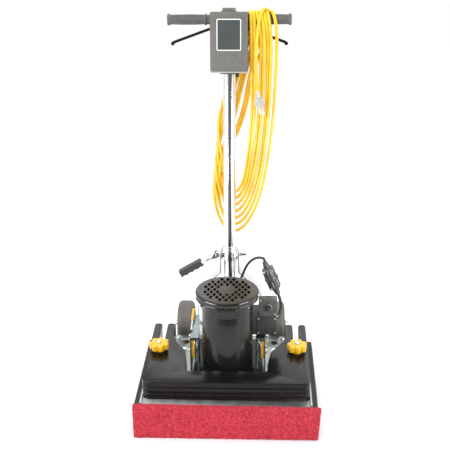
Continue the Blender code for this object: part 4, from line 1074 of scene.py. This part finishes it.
rod_low, rod_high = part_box("pivot_rod")
shaft = merged(rod((rod_low.x + 0.006, pivot.y, pivot.z), (rod_high.x - 0.01, pivot.y, pivot.z), 0.0059, 40),
               moved(threaded(0.0056, 0, 0.0175), aimed((rod_high.x - 0.0175, pivot.y, pivot.z), (1, 0, 0))))
form("pivot_rod", shaft, "chrome")
nut = moved(hex_head(0.0145, 0.007, 0.0105), aimed((0.0307, pivot.y, pivot.z), (1, 0, 0), 0.2))
piece("pivot_nut", nut, "chassis", "zinc", angle=30)
cam_place = Matrix.Translation((-0.041, pivot.y, pivot.z)) @ Matrix.Rotation(math.radians(-121), 4, "Y")
pin = turned([(0, -0.016), (0.0046, -0.016, 0.0008), (0.0046, -0.0134), (0.003, -0.0134), (0.003, 0.0134),
              (0.0046, 0.0134), (0.0046, 0.016, 0.0008), (0, 0.016)], 32, False)
piece("cam_pin", pin, "chassis", "steel", aimed((-0.041, pivot.y, pivot.z), (0, 1, 0)))
cup = turned([(0.0064, 0), (0.0115, 0, 0.0006), (0.0115, 0.002, 0.0008), (0.0085, 0.0034, 0.001),
              (0.0064, 0.0034)], 48)
piece("cam_thrust_washer", cup, "chassis", "zinc", aimed((-0.0306, pivot.y, pivot.z), (-1, 0, 0)))

jaw = rounded([(0.009, -0.0036, 0.004), (0.009, 0.006, 0.004), (0.0046, 0.018, 0.006), (0.0044, 0.06),
               (-0.0044, 0.06), (-0.0046, 0.018, 0.006), (-0.008, 0.0062, 0.004), (-0.0082, -0.0046, 0.0045),
               (-0.003, -0.009, 0.004), (0.005, -0.0086, 0.004)])
cheeks = prism(jaw, -0.0128, 0.0128, "Y")
gap = centred(0.03, (-0.0064, 0.0064), (-0.03, 0.0095))
waist_left = centred(0.03, (-0.03, -0.0072), (0.027, 0.07), 0.003)
waist_right = centred(0.03, (0.0072, 0.03), (0.027, 0.07), 0.003)
eye = rod((0, -0.03, 0), (0, 0.03, 0), 0.0033, 24)
form("cam_lever", carved(cheeks, gap, waist_left, waist_right, eye), "chrome", cam_place, bevel=0.0007)


def finger_grip(start, end):
    """A moulded grip with a straight back and four finger waves below."""
    back, front, waves = 0.0118, 0.0122, 4
    outline = []
    for index in range(49):
        t = index / 48
        wave = abs(math.sin(math.pi * waves * t)) ** 0.8
        outline.append((-(front - 0.0034 * wave), start + (end - start) * t))
    outline += [(back, end), (back, start)]
    return prism(outline, -0.0112, 0.0112, "Y")


form("cam_grip", finger_grip(0.056, 0.1358), CAM_RUBBER, cam_place, bevel=0.0026, segments=3)


# ------------------------------------------------------------------- switch box

HALF, BOX_FRONT, BOX_BACK, BOX_LOW, BOX_HIGH = 0.0555, -0.045, 0.026, 0.568, 0.74
BAR = 0.718


def box_layer(inset, front, back, radius=0.0):
    """A slab as wide and high as the switch box, less an inset, between two depths."""
    return centred(HALF - inset, (front, back), (BOX_LOW + inset, BOX_HIGH - inset), radius)


shell = centred(HALF, (BOX_FRONT, BOX_BACK), (BOX_LOW, BOX_HIGH), 0.0045, 4)
hollow = box_layer(0.003, BOX_FRONT + 0.003, BOX_BACK + 0.02, 0.002)
LEVER_GAP = ((-0.0068, 0.0068), (0.6835, 0.699), 0.0015)
button_gap = centred(0.02, (-0.0375, -0.0145), (0.72, 0.76), 0.003)
tube_gap = rod((0, 0, 0.55), (0, 0, 0.58), TUBE + 0.0004, 64)
bar_gap = rod((-0.08, 0, BAR), (0.08, 0, BAR), 0.0114, 48)
form("switch_box", carved(shell, hollow, centred(0.08, *LEVER_GAP), button_gap, tube_gap, bar_gap),
     "grey_plastic", HANDLE, angle=28)
# The lip under the box is painted light grey as a highlight.
lip = centred(HALF - 0.001, (BOX_FRONT + 0.002, BOX_BACK + 0.003), (BOX_LOW - 0.0042, BOX_LOW + 0.001),
              0.0018)
on_handle("switch_box_lip", carved(lip, tube_gap), LIP_HIGHLIGHT_PAINT, slot="grey_plastic")
lid = box_layer(0, BOX_BACK + 0.0003, BOX_BACK + 0.004, 0.0016)
rib = box_layer(0.01, BOX_BACK + 0.003, BOX_BACK + 0.0046, 0.0009)
form("switch_box_cover", merged(lid, rib), "grey_plastic", HANDLE)
fasteners("switch_box_screws", SCREW, "handle", "zinc",
          [((x, BOX_BACK + 0.0039, z), (0, 1, 0), 0.3 + 7 * x)
           for x in (-0.0505, 0.0505) for z in (0.5735, 0.7345)], HANDLE)
gasket = carved(box_layer(0.0012, BOX_BACK - 0.0005, BOX_BACK + 0.0008),
                box_layer(0.0045, BOX_BACK - 0.01, BOX_BACK + 0.01))
on_handle("switch_box_gasket", gasket, "black_rubber")


def panel(half, low, high, radius, front, back):
    """A plate with round corners on the box's front, between two depths from that face."""
    outline = rounded([(half, high, radius), (-half, high, radius), (-half, low, radius),
                       (half, low, radius)], True, 6)
    return prism(outline, BOX_FRONT + front, BOX_FRONT + back, "Y")


border = carved(panel(0.036, 0.6285, 0.7195, 0.0042, -0.0011, 0.0004),
                panel(0.0331, 0.6314, 0.7166, 0.0018, -0.01, 0.01))
on_handle("panel_border", border, PANEL_EDGE, bevel=0.0003, slot="grey_plastic")
on_handle("panel_plate", panel(0.033, 0.6315, 0.7165, 0.0017, -0.0007, 0.0004), PANEL, bevel=0.0002,
          slot="grey_plastic")
form("lockout_button", centred(0.0194, (-0.0369, -0.0151), (0.726, BOX_HIGH + 0.011), 0.0026), "grey_plastic",
     HANDLE)
bezel = centred(0.0232, (-0.0408, -0.0112), (BOX_HIGH - 0.0006, BOX_HIGH + 0.0016), 0.0009)
on_handle("lockout_bezel", carved(bezel, button_gap), "grey_plastic")
for label, side in SIDES:
    centre = side * 0.0242
    clip = [slab((centre - 0.003, y, BOX_LOW - 0.009), (centre + 0.003, 0.0022, BOX_LOW + z), 0.0006)
            for y, z in ((0, 0.002), (-0.006, -0.007))]
    on_handle(f"box_foot_{label}", merged(*clip), "black_rubber")
socket = turned([(TUBE + 0.0004, 0.559), (0.0212, 0.559, 0.001), (0.0218, 0.565), (TUBE + 0.0004, 0.565)], 96)
on_handle("box_tube_socket", socket, "black_rubber")

bar = turned([(0, 0.179), (0.011, 0.179, 0.0008), (0.011, -0.179, 0.0008), (0, -0.179)], 64, False)
form("crossbar", bar, "steel", HANDLE @ Matrix.Translation((0, 0, BAR)) @ Matrix.Rotation(QUARTER, 4, "Y"))


def grip():
    """A moulded hand grip: neck, round flanges, a swelling barrel with fine lengthwise ribs and a closed end."""
    rows = [(0.0113, 0.0575, 0), (0.015, 0.0578, 0), (0.0152, 0.059, 0), (0.0136, 0.0635, 0),
            (0.0134, 0.0655, 0), (0.016, 0.0668, 0), (0.0171, 0.068, 0), (0.0173, 0.07, 0),
            (0.0168, 0.0716, 0), (0.0146, 0.073, 0)]
    rows += [(0.0141 + 0.0009 * math.sin(math.pi * t), 0.0745 + 0.0985 * t, 1)
             for t in (0, 0.12, 0.25, 0.38, 0.5, 0.62, 0.75, 0.88, 1)]
    rows += [(0.0146, 0.1748, 0), (0.0166, 0.1762, 0), (0.0172, 0.1778, 0), (0.0172, 0.1806, 0),
             (0.0162, 0.183, 0), (0.013, 0.1839, 0), (0.006, 0.1836, 0), (0, 0.1834), (0, 0.18),
             (0.0113, 0.1796, 0)]
    return lathe(rows + [(0.0113, 0.0576, 0)], 144, flutes(36, 0.0009))


def lever(side):
    """A flat trigger lever with a turned-down toe and a rounded heel."""
    line = [Vector(p) for p in ((-0.007, 0.0), (0.02, 0.0), (0.124, -0.037), (0.1322, -0.045))]
    upper, under = [], []
    for index, here in enumerate(line):
        before = (here - line[index - 1]).normalized() if index else (line[1] - here).normalized()
        after = (line[index + 1] - here).normalized() if index < len(line) - 1 else before
        ahead = (before + after).normalized()
        normal = Vector((-ahead.y, ahead.x))
        thick = (0.004, 0.0042, 0.0042, 0.006)[index]
        upper.append(tuple(here + normal * thick) + (0.004,))
        under.append(tuple(here - normal * thick) + (0.004,))
    outline = [(side * x, z) for x, z in rounded(upper + under[::-1])]
    return prism(outline, -0.006, 0.006, "Y")


for label, side in SIDES:
    form(f"grip_{label}", grip(), GRIP_RUBBER,
         HANDLE @ Matrix.Translation((0, 0, BAR)) @ Matrix.Rotation(side * QUARTER, 4, "Y"), angle=40)
    form(f"trigger_lever_{label}", lever(side), "black_gloss",
         HANDLE @ Matrix.Translation((side * 0.04, 0, 0.69)), bevel=0.0012, segments=3)
    boot = slab((HALF - 0.0008, -0.0095, 0.6815), (HALF + 0.0022, 0.0095, 0.701), 0.001)
    boot = carved(boot, slab((0.04, -0.0068, 0.6835), (0.08, 0.0068, 0.699), 0.0015))
    on_handle(f"lever_slot_trim_{label}", mirrored(boot, side), "black_rubber")
    flange = moved(washer(0.0114, 0.015, 0.0018, 0.0008, 64), aimed((side * HALF, 0, BAR), (side, 0, 0)))
    on_handle(f"bar_flange_{label}", flange, "black_rubber")


# ----------------------------------------------------------------------- cords

CORD, CORD_STEP = 0.0049, 0.0125


def cord_turn(share, top, front_x, side_x, left_x, back_xs, depth):
    """One turn over the grip: down in front, round behind the tube, up behind the box. share is 0 inmost."""
    low = 0.163 - 0.122 * share
    return [(top, 0.0, BAR + 0.0232), (top + 0.002, -0.0165, BAR + 0.015),
            (front_x + 0.002, -0.0235 - depth, 0.69), (front_x, -0.0245 - depth, 0.6),
            (side_x, -0.023 - depth, 0.45), (side_x - 0.01, -0.02 - depth, 0.345),
            (0.0595 + 0.0405 * share, -0.013 - depth, low + 0.168),
            (0.05 + 0.029 * share, 0.002, low + 0.102), (0.039 + 0.009 * share, 0.019, low + 0.04),
            (0.02, 0.03, low + 0.008), (0.0, 0.0345, low + 0.003), (-0.018, 0.0365, low + 0.024),
            (left_x + 0.012, 0.037, low + 0.062), (left_x + 0.003, 0.038, low + 0.105),
            (left_x, 0.038, 0.3 - 0.055 * share), (back_xs[3], 0.039, 0.36), (back_xs[2], 0.04, 0.42),
            (back_xs[1], 0.041, 0.48), (back_xs[0], 0.043, 0.545), ((back_xs[0] + top) / 2, 0.044, 0.632),
            (top - 0.004, 0.033, 0.7), (top - 0.002, 0.018, BAR + 0.015)]


TURNS = (
    # share, top, front, side, left, back at four heights from the box down, depth
    (0.0, 0.06, 0.065, 0.07, -0.031, (0.008, -0.023, -0.0345, -0.0335), 0.0),
    (0.17, 0.0705, 0.0765, 0.0775, -0.038, (0.015, -0.008, -0.031, -0.035), 0.006),
    (0.33, 0.081, 0.094, 0.0895, -0.043, (0.0215, 0.004, -0.018, -0.032), 0.001),
    (0.5, 0.0905, 0.104, 0.099, -0.035, (0.033, 0.02, 0.006, -0.014), 0.008),
    (0.67, 0.0995, 0.114, 0.111, -0.048, (0.04, 0.027, 0.012, -0.008), 0.001),
    (0.83, 0.1095, 0.1235, 0.119, -0.041, (0.056, 0.049, 0.035, 0.006), 0.007),
    (1.0, 0.135, 0.14, 0.1335, -0.05, (0.061, 0.056, 0.044, 0.013), 0.0),
)


def settled(path):
    """Pushes the cord's runs apart until none lies in another, the grip, the tube or the box, and smooths it."""
    rounds, neighbours = 160, 0.045
    at = np.array([tuple(p) for p in path])
    order = np.arange(len(at))
    apart = np.abs(order[:, None] - order[None, :]) * CORD_STEP > neighbours
    clear = CORD * 2.02
    box_low = np.array((-HALF - CORD, BOX_FRONT - CORD, BOX_LOW - CORD))
    box_high = np.array((HALF + CORD, BOX_BACK + 0.006 + CORD, BOX_HIGH + CORD))
    for step in range(rounds):
        gap = at[:, None, :] - at[None, :, :]
        far = np.sqrt((gap ** 2).sum(2)) + 1e-9
        close = np.clip(clear - far, 0, None) * apart
        push = (gap / far[:, :, None] * close[:, :, None]).sum(1)
        size = np.sqrt((push ** 2).sum(1))[:, None]
        at = at + push / (size + 1e-9) * np.minimum(size * 0.35, 0.0012)
        if step < rounds - 30:
            bend = np.zeros_like(at)
            bend[1:-1] = (at[:-2] + at[2:]) / 2 - at[1:-1]
            at[1:-1] += bend[1:-1] * 0.12
        for centre, axis, reach in ((BAR, 0, 0.0178 + CORD), (None, 2, TUBE + 0.0006 + CORD)):
            a, b = [i for i in range(3) if i != axis]
            middle = np.array((0.0, BAR)) if centre else np.array((0.0, 0.0))
            out = at[:, [a, b]] - middle
            span = np.sqrt((out ** 2).sum(1))[:, None] + 1e-9
            inside = (span[:, 0] < reach) & ((at[:, axis] > 0.05) if axis == 0 else (at[:, 2] < 0.56))
            at[np.ix_(inside, [a, b])] = (middle + out / span * reach)[inside]
        inside = ((at > box_low) & (at < box_high)).all(1)
        for index in np.nonzero(inside)[0]:
            room = [(at[index][0] - box_low[0], 0, -1), (box_high[0] - at[index][0], 0, 1),
                    (box_high[1] - at[index][1], 1, 1), (at[index][2] - box_low[2], 2, -1)]
            depth, axis, way = min(room)
            at[index][axis] += way * depth
    return [Vector(p) for p in at]


def even(path, step):
    """The same line with points a fixed step apart."""
    at = np.array([tuple(p) for p in path])
    run = np.concatenate([[0], np.cumsum(np.sqrt((np.diff(at, axis=0) ** 2).sum(1)))])
    marks = np.linspace(0, run[-1], max(4, int(run[-1] / step)))
    return [Vector(p) for p in np.stack([np.interp(marks, run, at[:, k]) for k in range(3)], 1)]


knots = [(0.022, 0.0185, BOX_LOW - 0.004), (0.024, 0.03, 0.52), (0.036, 0.04, 0.56), (0.052, 0.044, 0.64),
         (0.057, 0.03, 0.705), (0.06, 0.018, BAR + 0.014)]
for turn in TURNS:
    knots += cord_turn(*turn)
plug_mouth = Vector((0.0835, -0.053, 0.514))
knots += [(0.09, 0.0, BAR + 0.033), (0.088, -0.022, BAR + 0.018), (0.081, -0.037, 0.67), (0.078, -0.042, 0.6),
          (0.08, -0.048, 0.545), tuple(plug_mouth + Vector((-0.001, 0.001, 0.01))), tuple(plug_mouth)]
coil_path = even(settled(even(spline(knots, 8), CORD_STEP)), CORD_STEP)
form("power_cord", sweep(spline(coil_path, 3), CORD, 14), "yellow_cord", HANDLE, angle=60)
relief = turned([(CORD + 0.0001, -0.003), (0.0085, -0.003), (0.0085, 0.003, 0.0005), (0.007, 0.004, 0.0005),
                 (0.0058, 0.018, 0.001), (CORD + 0.0001, 0.018)], 40)
on_handle("cord_relief", moved(relief, aimed((0.022, 0.0185, BOX_LOW), (0.02, 0.1, -1))), "black_rubber")

plug_way = Vector((0.2, -0.06, -1.0)).normalized()
plug_frame = aimed(plug_mouth, plug_way)
shell = rounded([(0, 0.0), (0.0062, 0.0, 0.001), (0.0074, 0.01, 0.004), (0.0118, 0.02, 0.006),
                 (0.0172, 0.027, 0.004), (0.0182, 0.044, 0.004), (0.016, 0.052, 0.002), (0, 0.052)], False)
shell = [(r, h, 1.0 if 0.015 < h < 0.05 else 0.0) for r, h in shell]
form("cord_plug", moved(lathe(shell, 96, flutes(8, 0.0026)), plug_frame @ Matrix.Diagonal((1, 0.78, 1, 1))),
     "clear_plastic", HANDLE, angle=40)
spot = moved(rod((0, 0, 0), (0, 0.0007, 0), 0.0036, 24), Matrix.Diagonal((1.0, 1.0, 1.5, 1)))
window_place = plug_frame @ Matrix.Rotation(QUARTER, 4, "Z") @ Matrix.Translation((0, -0.0146, 0.033))
on_handle("plug_window", moved(spot, window_place), TERMINAL, slot="clear_plastic")
core = turned([(0, 0.02), (0.0052, 0.021, 0.001), (0.0062, 0.03, 0.003), (0.0058, 0.04, 0.002), (0, 0.041)],
              40, False)
on_handle("plug_core", moved(core, plug_frame @ Matrix.Diagonal((1, 0.7, 1, 1))), TERMINAL, angle=40,
          slot="clear_plastic")
prongs = [slab((x - 0.0008, -0.0032, 0.0525), (x + 0.0008, 0.0032, 0.07), 0.0004) for x in (-0.0064, 0.0064)]
prongs.append(rod((0, 0.0075, 0.0525), (0, 0.0075, 0.073), 0.0023, 20))
prongs.append(slab((-0.0128, -0.0102, 0.0512), (0.0128, 0.0102, 0.0528), 0.0006))
on_handle("plug_prongs", moved(merged(*prongs), plug_frame), PRONG, slot="steel")

# The handle's own cable leaves the lower end of the tube.
tube_end = HANDLE @ Vector((0.004, 0.004, TUBE_LOW))
exit_path = spline([HANDLE @ Vector((0.004, 0.004, TUBE_LOW + 0.03)), tube_end,
                    tube_end + Vector((0.006, 0.004, -0.016)), (0.024, 0.205, 0.295), (0.037, 0.196, 0.33),
                    (0.056, 0.182, 0.38), (0.08, 0.158, 0.413), plug_top - plug_axis * 0.012,
                    plug_top + plug_axis * 0.003], 12)
cable = piece("handle_cable_form", sweep(exit_path, 0.0041, 16), None, "black_rubber",
              stands_for="handle_cable")
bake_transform(cable)

for node, finish in (("driver_plate", "aluminium"), ("driver_bearing", "steel"), ("eccentric_hub", "steel"),
                     ("motor_bearing_lower", "steel"), ("motor_bearing_upper", "steel"),
                     ("motor_shaft", "steel"), ("stator_core", "laminated_steel"),
                     ("rotor_core", "laminated_steel")):
    NODES[node].data.materials.clear()
    NODES[node].data.materials.append(FINISH[finish])


# -------------------------------------------------------------- stage and lights

def plain(name, colour, roughness=0.9):
    made = Tree(name)
    made.set(Base_Color=rgba(colour), Roughness=roughness)
    return made.material


def stage_mesh(name, mesh, material):
    made = bpy.data.objects.new(name, mesh)
    bpy.context.scene.collection.objects.link(made)
    mesh.materials.append(material)
    return made


FLOOR = plain("studio_floor", (0.93, 0.93, 0.93), 0.85)
stage_mesh("studio_floor", slab((-9, -9, -0.0202), (9, 9, -0.0002)), FLOOR)


def card(name, angles, heights, distance, material):
    """A card on the stage that only mirrors show: angles in degrees, 0 towards the front and + towards +X."""
    low, high = heights
    bm = bmesh.new()
    rings = []
    for step in range(13):
        turn = math.radians(angles[0] + (angles[1] - angles[0]) * step / 12)
        at = Vector((math.sin(turn), -math.cos(turn), 0)) * distance
        rings.append((bm.verts.new(at + Vector((0, 0, low))), bm.verts.new(at + Vector((0, 0, high)))))
    for a, b in zip(rings, rings[1:]):
        bm.faces.new((a[0], b[0], b[1], a[1]))
    made = stage_mesh(name, to_mesh(bm), material)
    made.visible_camera = made.visible_diffuse = made.visible_shadow = False


GLOW = Tree("card_glow")
GLOW.set(Base_Color=rgba((0.0, 0.0, 0.0)), Emission_Color=rgba((1.0, 1.0, 1.0)), Emission_Strength=22.0)
DARK, GREY = plain("flag_dark", (0.05, 0.05, 0.05)), plain("flag_grey", (0.24, 0.24, 0.24))
for row in (("flag_dark_front", (-6, 44), (0.03, 2.4), 0.85, DARK),
            ("flag_dark_side", (44, 62), (0.62, 2.4), 0.85, DARK),
            ("flag_grey_front", (-38, -6), (0.03, 2.4), 0.85, GREY),
            ("flag_grey_side", (-50, -38), (0.62, 2.4), 0.85, GREY),
            ("glow_left", (-76, -38), (0.4, 0.85), 1.3, GLOW.material),
            ("glow_right", (34, 78), (0.4, 0.8), 1.3, GLOW.material)):
    card(*row)


def lamp(name, at, size, power):
    """An area lamp that is aimed at the middle of the machine."""
    light = bpy.data.lights.new(name, "AREA")
    light.shape = "RECTANGLE"
    light.size, light.size_y = size
    light.energy = power
    made = bpy.data.objects.new(name, light)
    bpy.context.scene.collection.objects.link(made)
    made.location = at
    made.rotation_euler = (Vector((0, 0.05, 0.45)) - Vector(at)).to_track_quat("-Z", "Y").to_euler()


lamp("key_left", (-2.2, -1.9, 2.3), (0.34, 1.3), 30)
lamp("key_right", (2.1, -1.7, 2.3), (0.3, 1.3), 24)
lamp("top_soft", (0.0, 0.2, 3.4), (2.4, 2.4), 26)
lamp("back_rim", (0.0, 2.8, 2.0), (2.6, 1.4), 14)

world = bpy.data.worlds.new("studio")
bpy.context.scene.world = world
world.use_nodes = True
background = world.node_tree.nodes["Background"]
background.inputs["Color"].default_value = (1, 1, 1, 1)
background.inputs["Strength"].default_value = 1.07
bpy.context.scene.view_settings.view_transform = "Standard"

yaw, pitch, roll = 0.0466, 0.3877, -0.0105
forward = Vector((-math.sin(yaw) * math.cos(pitch), math.cos(yaw) * math.cos(pitch), -math.sin(pitch)))
right = Vector((math.cos(yaw), math.sin(yaw), 0))
up = right.cross(forward)
turned_right = right * math.cos(roll) + up * math.sin(roll)
turned_up = up * math.cos(roll) - right * math.sin(roll)
lens = bpy.data.cameras.new("camera")
lens.sensor_width = 36.0
lens.lens = 67.57
camera = bpy.data.objects.new("camera", lens)
bpy.context.scene.collection.objects.link(camera)
axes = Matrix((turned_right, turned_up, -forward)).transposed().to_4x4()
camera.matrix_world = Matrix.Translation((0.099, -2.2088, 1.4907)) @ axes
bpy.context.scene.camera = camera
